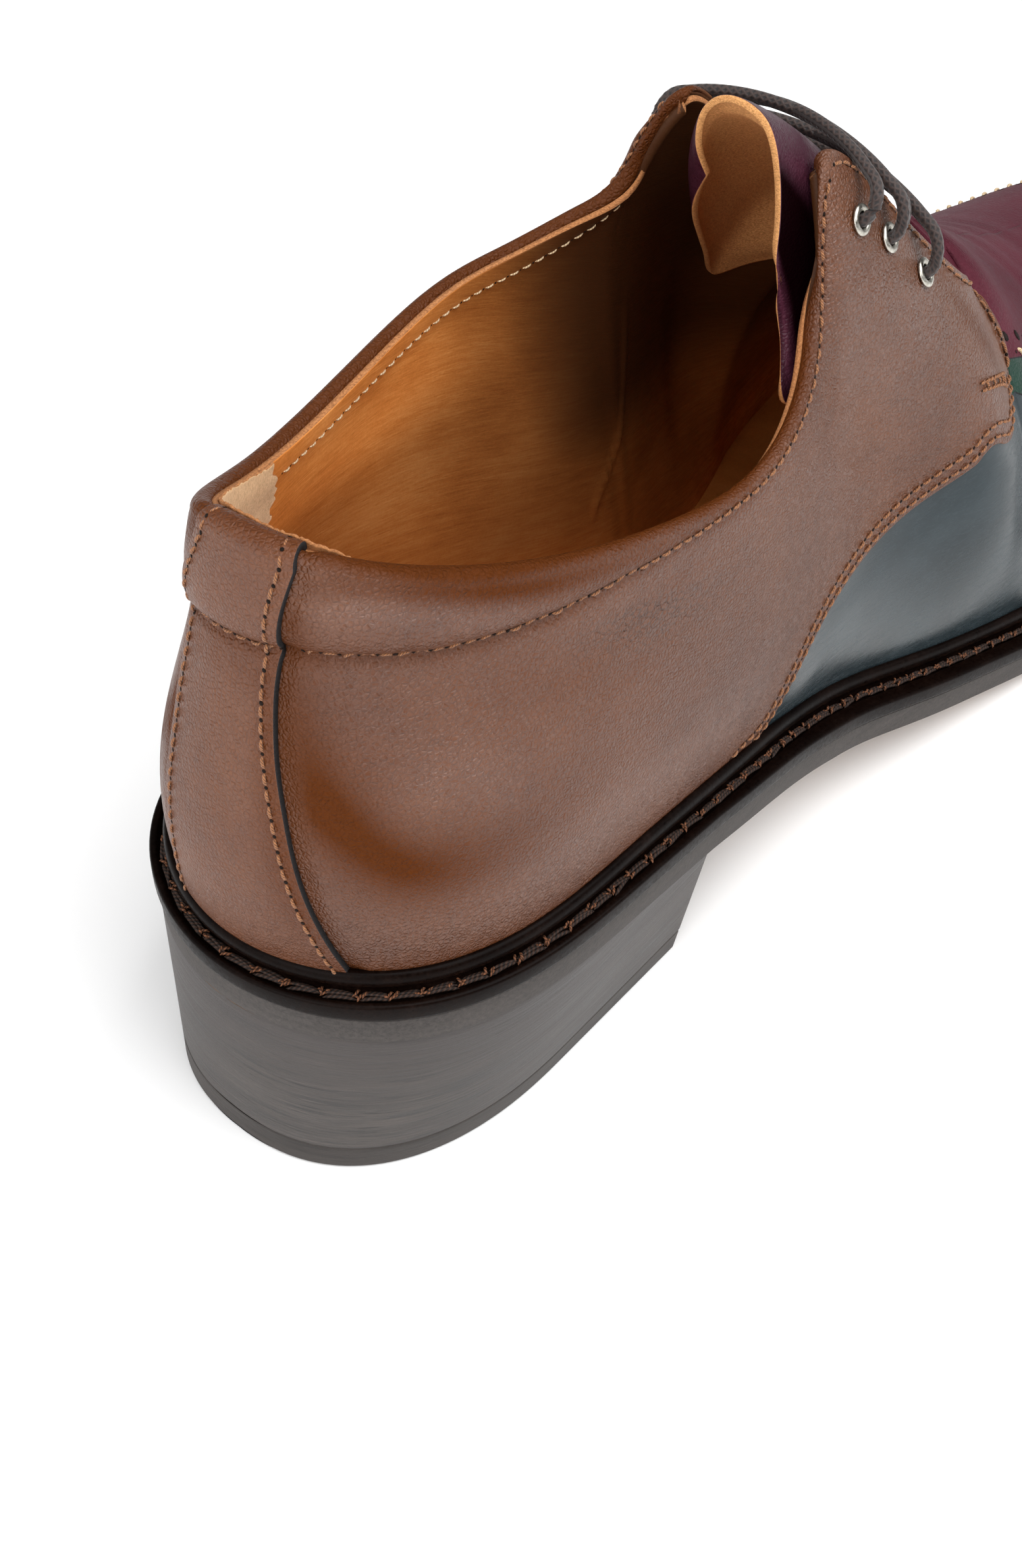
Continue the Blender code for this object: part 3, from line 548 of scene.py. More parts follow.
def piece(name, points, faces, looks, which=None, shade=None, lay=None, flat=False, sharp=None):
    """A mesh object from points in millimetres; which gives each face's material."""
    mesh = bpy.data.meshes.new(name)
    mesh.from_pydata(placed(points).tolist(), [], [list(map(int, f)) for f in faces])
    for look in looks:
        mesh.materials.append(look)
    if which is not None:
        mesh.polygons.foreach_set("material_index", np.asarray(which, np.int32))
    stored = mesh.attributes.new("shade", "FLOAT", "POINT")
    stored.data.foreach_set("value", np.zeros(len(points), np.float32) if shade is None else np.clip(np.asarray(shade, np.float32).ravel(), -1, 1))
    if lay is not None:
        stored = mesh.attributes.new("lay", "FLOAT_VECTOR", "POINT")
        stored.data.foreach_set("vector", np.asarray(lay, np.float32).ravel())
    mesh.validate()
    if not flat:
        mesh.shade_smooth()
        if sharp:
            mesh.set_sharp_from_angle(angle=math.radians(sharp))
    mesh.update()
    obj = bpy.data.objects.new(name, mesh)
    bpy.context.scene.collection.objects.link(obj)
    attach(obj, "root")
    SHOWN[name] = obj
    return obj


def tree_of(points, faces):
    return BVHTree.FromPolygons([tuple(p) for p in points], [tuple(int(i) for i in f) for f in faces])


def quads(n, m, start=0, wrap_n=False, wrap_m=False):
    """Faces of an n by m grid of point numbers."""
    i = np.arange(n if wrap_n else n - 1)[:, None]
    j = np.arange(m if wrap_m else m - 1)[None, :]
    a, b = i * m + j, ((i + 1) % n) * m + j
    c, d = ((i + 1) % n) * m + (j + 1) % m, i * m + (j + 1) % m
    return np.stack(np.broadcast_arrays(a, b, c, d), -1).reshape(-1, 4) + start


def grid_normals(p, like=None):
    n = unit(np.cross(np.gradient(p, axis=0), np.gradient(p, axis=1)))
    if like is not None:
        n *= np.sign((n * like).sum(-1, keepdims=True).mean())
    return n


def run_length(p, axis=0):
    d = np.linalg.norm(np.diff(p, axis=axis), axis=-1)
    return np.concatenate([np.zeros_like(np.take(d, [0], axis)), np.cumsum(d, axis)], axis)


def panel(name, p, out, thick, looks, round_edge=0.35, shade=None, lay=None, rim_shade=0.0):
    """A sheet of leather from a grid of outer points: its outer face, rounded cut edges and its inner face. The edges take looks[1]."""
    n, m = p.shape[:2]
    normal = grid_normals(p, out)
    thick = np.broadcast_to(np.asarray(thick, float), (n, m))
    under = p - thick[..., None] * normal
    loop = [(i, 0) for i in range(n)] + [(n - 1, j) for j in range(1, m)] + [(i, m - 1) for i in range(n - 2, -1, -1)] + [(0, j) for j in range(m - 2, 0, -1)]
    li, lj = np.array(loop).T
    edge, up = p[li, lj], normal[li, lj]
    along = unit(np.roll(edge, -1, 0) - np.roll(edge, 1, 0))
    away = unit(np.cross(along, up))
    inner = p[np.clip(li, 1, n - 2), np.clip(lj, 1, m - 2)]
    away *= np.sign(((edge - inner) * away).sum(-1)).mean() or 1.0
    r = min(round_edge, float(thick.min()) * 0.6)
    rings = [edge + away * r * math.sin(f) - up * r * (1 - math.cos(f)) for f in np.radians((30, 60, 90))]
    rings.append(edge + away * r - up * (thick[li, lj] - 0.05)[:, None])
    points = [p.reshape(-1, 3), under.reshape(-1, 3), *rings]
    points = np.concatenate(points)
    top = quads(n, m)
    low = quads(n, m, n * m)[:, ::-1]
    count = len(loop)
    ids = [li * m + lj] + [2 * n * m + k * count + np.arange(count) for k in range(len(rings))] + [n * m + li * m + lj]
    faces, which = [top, low], [np.zeros(len(top), int), np.full(len(low), 1)]
    for a, b in zip(ids, ids[1:]):
        f = np.stack([a, np.roll(a, -1), np.roll(b, -1), b], -1)
        faces.append(f)
        which.append(np.full(len(f), 1))
    which[2][:] = 0
    faces = np.concatenate(faces)
    shades = np.zeros(len(points))
    if shade is not None:
        shades[: n * m] = shade.ravel()
        shades[n * m : 2 * n * m] = shade.ravel()
    shades[2 * n * m :] = rim_shade
    lays = None
    if lay is not None:
        lays = np.zeros((len(points), 3))
        lays[: n * m] = lay.reshape(-1, 3)
        lays[n * m : 2 * n * m] = lay.reshape(-1, 3)
        for k in range(len(rings)):
            lays[2 * n * m + k * count : 2 * n * m + (k + 1) * count] = lay[li, lj]
    # turn every face the way the outer grid should face
    sample = np.cross(p[1, 0] - p[0, 0], p[1, 1] - p[0, 0])
    if (sample * normal[0, 0]).sum() < 0:
        faces = faces[:, ::-1]
    obj = piece(name, points, faces, looks, np.concatenate(which), shades, lays)
    fix_normals(obj)
    return obj, points, faces


def fix_normals(obj):
    bm = bmesh.new()
    bm.from_mesh(obj.data)
    bmesh.ops.recalc_face_normals(bm, faces=bm.faces)
    bm.to_mesh(obj.data)
    bm.free()


def resample(line, step=None, count=None):
    line = np.asarray(line, float)
    run = run_length(line)
    if count is None:
        count = max(2, int(round(run[-1] / step)) + 1)
    even = np.linspace(0, run[-1], count)
    return np.stack([np.interp(even, run, line[:, k]) for k in range(line.shape[1])], -1)


def on_surface(tree, points):
    """Nearest points of a mesh and its outward normals there."""
    found = [tree.find_nearest(Vector(p)) for p in points]
    return np.array([f[0] for f in found]), np.array([f[1] for f in found])


RING, ALONG = 7, 8


def stitch_shape(length, width, height):
    """One stitch along x: a bulging thread whose ends dive into the leather."""
    t = np.linspace(-1, 1, ALONG)
    r = np.sqrt(np.maximum(1 - np.abs(t) ** 5, 0.02))
    lift = height * (1 - np.abs(t) ** 2.4) - 0.32 * height
    a = np.arange(RING) * 2 * math.pi / RING
    p = np.stack([np.repeat(t[:, None] * length / 2, RING, 1), width / 2 * r[:, None] * np.cos(a), width / 2 * r[:, None] * np.sin(a) * 0.85 + lift[:, None]], -1)
    ends = np.array([[-length / 2 - 0.02, 0, lift[0]], [length / 2 + 0.02, 0, lift[-1]]])
    faces = quads(ALONG, RING, 0, wrap_m=True).tolist()
    k = ALONG * RING
    faces += [[k, (j + 1) % RING, j] for j in range(RING)]
    faces += [[k + 1, (ALONG - 1) * RING + j, (ALONG - 1) * RING + (j + 1) % RING] for j in range(RING)]
    lay = np.concatenate([np.stack([p[..., 0].ravel(), np.tile(a * width / 2, ALONG), np.zeros(ALONG * RING)], -1), [[-length / 2, 0, 0], [length / 2, 0, 0]]])
    return np.concatenate([p.reshape(-1, 3), ends]), faces, lay


def hole_shape(width, depth):
    """A flat dark dimple, a closed lens; its dark is painted shade."""
    a = np.arange(RING) * 2 * math.pi / RING
    ring = np.stack([np.cos(a) * width / 2, np.sin(a) * width / 2, np.zeros(RING)], -1)
    points = np.concatenate([ring, [[0, 0, 0.035]], [[0, 0, -depth]]])
    faces = [[RING, j, (j + 1) % RING] for j in range(RING)] + [[RING + 1, (j + 1) % RING, j] for j in range(RING)]
    return points, faces


class Sewing:
    """Collects stitches and holes, and makes one object of each."""

    def __init__(self):
        self.sets = {}

    def add(self, key, shape, at, x, z, spin=0.0, lay=None):
        points, faces = shape
        y = unit(np.cross(z, x))
        x = np.cross(y, z)
        if spin:
            x, y = x * math.cos(spin) + y * math.sin(spin), y * math.cos(spin) - x * math.sin(spin)
        group = self.sets.setdefault(key, ([], [], []))
        start = sum(len(g) for g in group[0])
        group[0].append(at + points @ np.stack([x, y, z]))
        group[1].extend([[i + start for i in f] for f in faces])
        group[2].append(np.zeros((len(points), 3)) if lay is None else lay + [start * 0.37, 0, 0])

    def row(self, key, line, tree, pitch, length, width=0.47, height=0.33, slant=0.10, hole=0.56, sink=0.0, start=0.0, end=0.0, closed=False):
        run = run_length(np.asarray(line, float))
        count = max(1, int(round((run[-1] - start - end) / pitch)))
        even = np.linspace(start, run[-1] - end, count + 1)
        ends = np.stack([np.interp(even, run, np.asarray(line)[:, k]) for k in range(3)], -1)
        ends, normals = on_surface(tree, ends)
        for k in range(count):
            a, b = ends[k], ends[k + 1]
            z = unit(normals[k] + normals[k + 1])
            wob = rng.normal(0, 0.03)
            size = np.linalg.norm(b - a) * length / pitch
            points, faces, lay = stitch_shape(size, width * (1 + rng.normal(0, 0.05)), height)
            self.add(key, (points, faces), (a + b) / 2 + z * (sink + rng.normal(0, 0.015)), unit(b - a), z, slant + wob, lay)
        # needle holes, dark as painted shade
        if hole:
            for p, z in zip(ends, normals):
                x = unit(np.cross([0.3, 0.8, 0.52], z))
                self.add("holes", hole_shape(hole * (1 + rng.normal(0, 0.08)), 0.25), p + z * 0.02, x, unit(z))

    def make(self, name, key, looks):
        points, faces, lay = self.sets[key]
        return piece(name, np.concatenate(points), faces, looks, lay=np.concatenate(lay))


sewing = Sewing()

# ---------------------------------------------------------------- lines on the upper
# lower front border of the quarters: height over the floor along the shoe
QUARTER_LINE = spline(*zip(*((70, 27.5), (74, 30.6), (78, 32.3), (82, 32.6), (85.5, 33.0), (88.5, 34.4), (91.2, 36.6), (94.0, 39.7), (97.0, 43.3), (100.5, 46.8), (106, 50.2), (114, 53.3), (121, 55.9), (130, 58.4), (138, 59.8), (144, 59.2), (148.2, 57.3), (152, 55.0))))
# front border of the facing from its lower corner up to the edge: section, v
FACING_LINE = ((10.97, 0.620), (11.06, 0.641), (11.09, 0.682), (11.05, 0.730), (10.98, 0.780), (10.82, 0.848), (10.58, 0.912), (10.30, 0.968), (10.0, 1.0))
# lower border of the quarter next to that corner: section, v
LOW_FRONT = ((9.5, 0.645), (9.75, 0.657), (10.0, 0.655), (10.27, 0.649), (10.44, 0.646), (10.72, 0.629), (10.97, 0.620))
# collar seam: section and distance under the top edge
COLLAR_SEAM = {
    -1: ((0, 12.8), (0.6, 11.7), (1.1, 10.5), (1.6, 9.2), (2.0, 7.6), (2.5, 5.6), (3.0, 3.3), (3.5, 1.5), (4.0, 0.55), (5.0, 0.25), (6.0, 0.45), (6.7, 1.1), (7.3, 1.9), (8.0, 2.4)),
    1: ((0, 12.8), (0.7, 13.2), (1.2, 12.2), (2.0, 9.0), (2.6, 6.6), (3.3, 4.2), (4.0, 2.6), (5.0, 1.9), (6.0, 1.9), (7.0, 2.0), (8.0, 2.4)),
}
# borders of the back strap: v and the section, lateral and medial
STRAP_EDGE = {
    -1: ((0.0, 0.90), (0.094, 0.790), (0.219, 0.655), (0.338, 0.550), (0.469, 0.468), (0.575, 0.405), (0.656, 0.380), (0.744, 0.390), (0.80, 0.425), (0.85, 0.445), (0.956, 0.545), (1.0, 0.60)),
    1: ((0.0, 0.52), (0.18, 0.50), (0.27, 0.54), (0.37, 0.60), (0.52, 0.67), (0.61, 0.735), (0.70, 0.775), (0.75, 0.79), (0.80, 0.81), (0.85, 0.80), (0.92, 0.70), (1.0, 0.56)),
}


def rib_lengths(s, side, fine=np.linspace(1, 0, 121)):
    s = np.atleast_1d(np.asarray(s, float))
    line = shell(s[:, None], fine[None, :], side)
    return fine, run_length(line, 1)


def v_below_top(s, side, down):
    """v on section s that lies so far under the top edge, along the rib."""
    fine, run = rib_lengths(s, side)
    return np.array([np.interp(d, r, fine) for d, r in zip(np.broadcast_to(down, len(run)), run)])


def seam_depth(s, side):
    return np.interp(s, *zip(*COLLAR_SEAM[side]))


def quarter_low(s, side):
    """v of the quarter's lower border on section s: on the sole behind, on the sweeping line ahead."""
    fine = np.linspace(0, 1, 161)
    line = shell(np.asarray(s)[:, None], fine[None, :], side)
    over = line[..., 2] - QUARTER_LINE(np.clip(line[..., 0], 70, 152))
    v = np.array([np.interp(0.0, np.maximum.accumulate(o), fine) for o in over])
    return np.where(line[:, 0, 0] < 72, 0.0, v)


def catmull(points, count):
    """Even points on a smooth line through the given ones."""
    points = np.asarray(points, float)
    run = np.concatenate([[0], np.cumsum(np.linalg.norm(np.diff(points, axis=0), axis=1))])
    return spline(run, points)(np.linspace(0, run[-1], count))


COLLAR_PAD = ((0, 1.45), (1.0, 1.55), (1.8, 1.4), (2.6, 0.9), (3.4, 0.35), (4.0, 0.0), (9, 0.0))


def roll_size(s, side):
    s = np.asarray(s, float)
    lateral = 1.3 + 0.15 * smooth(3.2, 1.0, s)
    medial = 1.12 + 0.33 * smooth(1.3, 0.0, s)
    return np.where(np.asarray(side) < 0, lateral, medial) - 0.85 * smooth(7.6, 8.4, s)


def roll_turn(s):
    return np.radians(205 - 140 * smooth(7.6, 8.4, s))


def collar_offset(s, v, side):
    """Padding of the collar and the pull of its seam, in millimetres out."""
    s_flat = np.round(np.asarray(s, float).ravel(), 3)
    keys, back = np.unique(s_flat, return_inverse=True)
    fine, run = rib_lengths(keys, side)
    down = np.empty(s_flat.shape)
    flat_v = np.asarray(v, float).ravel()
    order = np.argsort(back, kind="stable")
    edges = np.searchsorted(back[order], np.arange(len(keys) + 1))
    for k in range(len(keys)):
        pick = order[edges[k] : edges[k + 1]]
        down[pick] = np.interp(-flat_v[pick], -fine, run[k])
    seam = seam_depth(s_flat, side)
    pad = np.interp(s_flat, *zip(*COLLAR_PAD))
    t = np.clip(1 - down / np.maximum(seam, 0.4), 0, 1)
    bulge = pad * (np.sin(math.pi * np.clip(t, 0, 1) ** 0.75) ** 0.8 * 0.85 + 0.15 * t)
    groove = -(0.18 + 0.42 * smooth(0.2, 1.0, pad)) * np.exp(-(((down - seam) / 0.9) ** 2)) * smooth(8.2, 7.6, s_flat)
    return (bulge + groove).reshape(np.shape(s)), down.reshape(np.shape(s)), seam.reshape(np.shape(s))


def near_line(points, line, chunk=4000):
    """Distance from each point to a polyline's points."""
    flat = points.reshape(-1, 3)
    out = np.empty(len(flat))
    for k in range(0, len(flat), chunk):
        d = flat[k : k + chunk, None, :] - line[None]
        out[k : k + chunk] = np.sqrt((d**2).sum(-1).min(1))
    return out.reshape(points.shape[:-1])


# ---------------------------------------------------------------- quarters
QUARTER_T = 1.15
ROLL = 13


def creases(points):
    """Soft folds where the quarter bends at the ankle, and faint ripples along the front rise."""
    x, y, z = points[..., 0], points[..., 1], points[..., 2]
    ripple = 0.10 * np.sin((x * 0.62 + z * 0.78) * 0.95 + 1.4 * np.sin(z * 0.11)) * smooth(96, 108, x) * smooth(136, 118, x) * smooth(58, 70, z)
    fold = -0.20 * np.exp(-(((z - 77.5 - 0.12 * (x - 50)) / 2.4) ** 2)) * smooth(30, 44, x) * smooth(78, 58, x)
    fold += -0.12 * np.exp(-(((z - 71 - 0.10 * (x - 50)) / 1.8) ** 2)) * smooth(34, 46, x) * smooth(74, 60, x)
    return ripple + fold


def crazing(points):
    """Fine cracks where the ankle bends: close under the collar seam, fading downwards."""
    x, z = points[..., 0], points[..., 2]
    over = z - (78.3 - 0.27 * (x - 52))
    return np.exp(-(((x - 55) / np.where(x < 55, 11.0, 17.0)) ** 2)) * np.exp(-((over / np.where(over > 0, 1.5, 6.0)) ** 2)) * 0.95


def blob(s, v, at, size, lean=0.0):
    """A soft oval on the leather, round (s, v)."""
    a, b = (s - at[0]), (v - at[1]) - lean * (s - at[0])
    return np.exp(-((a / size[0]) ** 2) - (b / size[1]) ** 2)


# soft trails over the leather: section, v, strength; those low on the heel and along the collar are painted shade, the
# lit ones painted sheen, and the one by the facing a darker patch
SHADE_HEEL = ((0.46, 0.86, 0.30), (0.52, 0.74, 0.50), (0.60, 0.63, 0.70), (0.69, 0.56, 0.85), (0.78, 0.508, 0.95), (0.89, 0.466, 1.0), (1.0, 0.43, 1.0), (1.11, 0.40, 1.0), (1.22, 0.376, 0.95), (1.35, 0.362, 0.85), (1.49, 0.35, 0.70), (1.64, 0.349, 0.55), (1.79, 0.349, 0.42), (2.13, 0.354, 0.25), (2.6, 0.37, 0.10))
SHADE_COLLAR = ((0.80, 0.97, 0.35), (1.1, 0.985, 0.55), (1.6, 0.99, 0.80), (2.0, 0.985, 0.95), (2.4, 0.98, 0.90), (2.9, 0.985, 0.60), (3.4, 0.99, 0.35), (4.2, 0.99, 0.20))
LIT_LOW = ((0.95, 0.16, 0.12), (1.07, 0.177, 0.15), (1.59, 0.215, 0.24), (2.56, 0.262, 0.38), (3.52, 0.285, 0.36), (4.31, 0.31, 0.25))
LIT_COLLAR = ((0.80, 0.935, 0.25), (1.0, 0.945, 0.55), (1.25, 0.95, 0.65), (1.6, 0.94, 0.45), (2.1, 0.915, 0.25))
LIT_MIDDLE = ((1.26, 0.49, 0.20), (1.45, 0.54, 0.30), (1.63, 0.556, 0.30), (1.82, 0.525, 0.30))
DARK_FACING = ((9.0, 0.93, 0.25), (9.25, 0.915, 0.45), (9.53, 0.895, 0.75), (9.71, 0.876, 0.80), (9.9, 0.85, 0.50), (10.05, 0.82, 0.25))
LIT_FRONT = ((5.6, 0.82, 0.20), (6.2, 0.72, 0.25), (7.0, 0.69, 0.40), (7.7, 0.68, 0.45), (8.2, 0.64, 0.38), (8.8, 0.79, 0.42))


def trail(s, v, knots, width):
    """Strength beside a trail; a section counts as 21 mm there and v as 67 mm."""
    knots = resample(np.array(knots) * [21.0, 67.0, 1.0], 1.5)
    out = np.zeros(np.shape(s))
    for a, b, strength in knots:
        out = np.maximum(out, strength * np.exp(-(((s * 21.0 - a) ** 2 + (v * 67.0 - b) ** 2) / width**2)))
    return out


def painted_shade(s, v, side):
    """Painted shade and sheen: a band of painted shade low on the heel, lighter painted shade over the rear and, on the
    lateral side, a band of painted shade along the collar; painted sheen below the heel band, on the padding and up the
    front; softer patches of painted shade over the quarter and darker patches by the facing.
    """
    tone = 0.66 * trail(s, v, SHADE_HEEL, 5.6) + 0.34 * trail(s, v, SHADE_HEEL, 10.0) + 0.10 * smooth(5.0, 1.5, s)
    if side < 0:
        tone += trail(s, v, SHADE_COLLAR, 2.6) + 0.35 * blob(s, v, (0.62, 0.875), (0.14, 0.05)) - trail(s, v, LIT_LOW, 6.0) - trail(s, v, LIT_COLLAR, 2.4) - trail(s, v, LIT_MIDDLE, 5.0) - trail(s, v, LIT_FRONT, 7.0)
        tone += 0.22 * blob(s, v, (2.5, 0.70), (0.6, 0.10), -0.06) + 0.18 * blob(s, v, (3.2, 0.42), (0.7, 0.12)) + 0.24 * blob(s, v, (3.7, 0.60), (0.9, 0.22)) + 0.15 * blob(s, v, (0.70, 0.49), (0.12, 0.06))
        tone += trail(s, v, DARK_FACING, 3.6) + 0.25 * blob(s, v, (10.2, 0.86), (0.35, 0.06))
    return tone


def quarter(side, nu, nw):
    u = np.linspace(0, 1, nu)
    s_top = np.interp(u, (0, 0.42, 0.74, 1), (0, 4.6, 8.0, 10.0))
    s_low = np.interp(u, (0, 0.42, 0.74, 1), (0, 4.5, 8.05, FACING_LINE[0][0]))
    v_low = quarter_low(s_low, side)
    v_low = v_low + smooth(9.3, 9.8, s_low) * (np.interp(s_low, *zip(*LOW_FRONT)) - v_low)
    w = np.linspace(0, 1, nw)
    border = catmull(FACING_LINE, nw)
    straight = np.array(FACING_LINE[0]) + w[:, None] * (np.array(FACING_LINE[-1]) - np.array(FACING_LINE[0]))
    swell = (border - straight)[None] * (smooth(0.70, 1.0, u) ** 1.6)[:, None, None]
    s = s_low[:, None] + (s_top - s_low)[:, None] * w + swell[..., 0]
    v = v_low[:, None] + (1 - v_low)[:, None] * w + swell[..., 1]
    v = np.clip(v, 0, 1)
    s = np.clip(s, 0, 12)
    base, out = shell(s, v, side), outward(s, v, side)
    pad, down, seam = collar_offset(s, v, side)
    front = np.concatenate([base[-1], base[s_low > 4.7][:, 0]])
    gap = near_line(base, front)
    lifted = 0.20 * smooth(9.0, 0.5, gap)
    thick = QUARTER_T - 0.80 * smooth(8.0, 0.5, gap)
    tuck = -0.55 * smooth(3.2, 0.8, near_line(base, strap_line(side)))
    p = base + out * (pad + lifted + tuck + creases(base))[..., None]
    # the leather turns over the top edge
    edge, n, t = base[:, -1], out[:, -1], rib_up(s[:, -1], v[:, -1], side)
    lift_edge = (p[:, -1] - edge)
    r0 = roll_size(s[:, -1], side)
    r = r0 + (lift_edge * n).sum(-1)
    f = roll_turn(s[:, -1])[:, None] * np.linspace(0, 1, ROLL + 1)[None, 1:]
    centre = edge - n * r0[:, None]
    over = centre[:, None] + r[:, None, None] * (np.cos(f)[..., None] * n[:, None] + np.sin(f)[..., None] * t[:, None])
    p = np.concatenate([p, over], 1)
    out = np.concatenate([out, np.cos(f)[..., None] * n[:, None] + np.sin(f)[..., None] * t[:, None]], 1)
    # painted shade along the collar seam and darker within 2 mm of the front borders, added to the painted shade and
    # sheen trails
    shade = 0.30 * np.exp(-(((down - seam) / 1.5) ** 2)) * smooth(8.2, 7.4, s) + 0.30 * smooth(2.0, 0.0, gap) + painted_shade(s, v, side)
    # painted shade deepening round the roll of the top edge
    shade = np.concatenate([shade, np.maximum(shade[:, -1:], 0.0) + smooth(0, 2.4, f) * 0.75], 1)
    # painted shade over the medial side's top and its roll
    if side > 0:
        shade = np.maximum(shade, 0.85 * np.concatenate([smooth(9.0, 2.0, down), np.ones((nu, ROLL))], 1))
    thick = np.concatenate([thick, np.minimum(thick[:, -1:], 0.95) * np.ones((1, ROLL))], 1)
    thick = np.minimum(thick, QUARTER_T - 0.45 * smooth(7.6, 8.4, np.concatenate([s, np.repeat(s[:, -1:], ROLL, 1)], 1)) * smooth(0.9, 1.0, np.concatenate([v, np.ones((nu, ROLL))], 1)))
    # painted shade just above the welt bead
    welt_shade = 0.25 * smooth(5.0, 0.0, p[..., 2] - welt_top(p[..., 0]) - BEAD_H)
    lay = np.stack([run_length(p, 0), run_length(p, 1), crazing(p)], -1)
    name = "quarter_lateral" if side < 0 else "quarter_medial"
    obj, points, faces = panel(name, p, out, thick, [BROWN, CUT], 0.30, shade + welt_shade, lay)
    return obj, tree_of(points[: p.shape[0] * p.shape[1]], quads(*p.shape[:2])), p, s, v


def strap_line(side, count=80):
    v = np.linspace(0, 1, count)
    s = spline(*zip(*STRAP_EDGE[side]))(v)
    return shell(s, v, side)


quarters = {side: quarter(side, *size) for side, size in ((-1, (290, 94)), (1, (190, 62)))}


# ---------------------------------------------------------------- back strap, over both quarters
def strap():
    nv, half = 150, 20
    v = np.linspace(0.0, 1, nv)
    left, right = (spline(*zip(*STRAP_EDGE[side]))(v) for side in (1, -1))
    k = np.linspace(0, 1, half + 1)
    cols = [(1, left[:, None] * (1 - k)[None, :-1]), (-1, right[:, None] * k[None, :])]
    points, outs, down, seam = [], [], [], []
    for side, s in cols:
        vv = np.broadcast_to(v[:, None], s.shape)
        pad, d, se = collar_offset(s, vv, side)
        o = outward(s, vv, side)
        points.append(shell(s, vv, side) + o * (pad + 0.45)[..., None])
        outs.append(o)
        down.append(d)
        seam.append(se)
    p, out = np.concatenate(points, 1), np.concatenate(outs, 1)
    down, seam = np.concatenate(down, 1), np.concatenate(seam, 1)
    s_all = np.concatenate([c[1][-1] for c in cols])
    side_all = np.concatenate([np.full(c[1].shape[1], c[0]) for c in cols])
    edge = np.array([shell(s, 1.0, int(side)) for s, side in zip(s_all, side_all)])
    n = np.array([outward(s, 1.0, int(side)) for s, side in zip(s_all, side_all)])
    t = np.array([rib_up(s, 1.0, int(side)) for s, side in zip(s_all, side_all)])
    r0 = roll_size(s_all, side_all)
    r = r0 + ((p[-1] - edge) * n).sum(-1)
    f = roll_turn(s_all)[:, None] * np.linspace(0, 0.93, ROLL + 1)[None, 1:]
    centre = edge - n * r0[:, None]
    normal = np.cos(f)[..., None] * n[:, None] + np.sin(f)[..., None] * t[:, None]
    over = centre[:, None] + r[:, None, None] * normal
    p = np.concatenate([p, over.transpose(1, 0, 2)], 0)
    out = np.concatenate([out, normal.transpose(1, 0, 2)], 0)
    across = np.concatenate([-np.linspace(1, 0, half + 1)[:-1], np.linspace(0, 1, half + 1)])[None, :]
    # painted shade at and under the collar seam and a painted highlight on the padding above it; painted shade along
    # the lateral border halfway up and a painted highlight left of the middle lower down; painted shade deepening round
    # the roll
    shade = 0.32 * np.exp(-(((down - seam) / 1.6) ** 2)) + 0.28 * np.exp(-(((down - seam - 3.5) / 3.0) ** 2)) - 0.15 * np.exp(-(((down - 0.55 * seam) / 2.5) ** 2))
    shade = shade + 0.55 * smooth(0.35, 1.0, across) * (smooth(0.10, 0.30, v) * smooth(0.80, 0.60, v))[:, None] - 0.25 * np.exp(-(((across + 0.25) / 0.4) ** 2)) * (smooth(0.75, 0.6, v))[:, None]
    shade = np.concatenate([shade, shade[-1:] + smooth(0, 2.4, f).T * 0.75], 0)
    # painted shade just above the welt bead
    welt_shade = 0.25 * smooth(5.0, 0.0, p[..., 2] - welt_top(p[..., 0]) - BEAD_H)
    lay = np.stack([run_length(p, 0), run_length(p, 1), np.zeros(p.shape[:2])], -1)
    obj, points, faces = panel("back_strap", p, out, 1.0, [STRAP, BLACK_EDGE], 0.22, np.maximum(shade, welt_shade), lay)
    return tree_of(points[: p.shape[0] * p.shape[1]], quads(*p.shape[:2])), p


strap_tree, strap_grid = strap()


# rows of stitches of the strap, the collar and the front borders
class OutTree:
    """A surface whose normals are turned to face away from a line inside the shoe."""

    def __init__(self, tree):
        self.tree = tree

    def find_nearest(self, p):
        at, n, index, d = self.tree.find_nearest(p)
        inside = Vector((min(max(at.x, 40.0), 215.0), 0.0, 20.0 + 0.30 * at.z))
        if n.dot(at - inside) < 0:
            n = -n
        return at, n, index, d


strap_tree = OutTree(strap_tree)
quarter_trees = {side: OutTree(q[1]) for side, q in quarters.items()}

m_strap = strap_grid.shape[1]
for column, inset in ((0, 1.45), (m_strap - 1, 1.5)):
    line = strap_grid[:, column]
    inward = unit(strap_grid[:, m_strap // 2] - line)
    line = (line + inward * inset)[8:-5]
    sewing.row("thread", line, strap_tree, 2.25, 1.75, slant=0.10 if column else -0.10)

for side in (-1, 1):
    s = np.linspace(0.62, 7.85, 400)
    v = v_below_top(s, side, seam_depth(s, side))
    p = shell(s, v, side)
    edge = np.interp(v, *zip(*STRAP_EDGE[side]))
    keep = s > edge + 0.05
    sewing.row("thread", p[keep], quarter_trees[side], 2.15, 1.62, slant=0.13 * -side)
    # the same seam across the strap
s = np.concatenate([np.linspace(0.74, 0, 40), np.linspace(0.02, 0.43, 24)])
sides = np.concatenate([np.ones(40), -np.ones(24)])
cross = np.array([shell(a, v_below_top(a, int(b), seam_depth(a, int(b)))[0], int(b)) for a, b in zip(s, sides)])
sewing.row("thread", cross, strap_tree, 2.15, 1.62, slant=0.13)


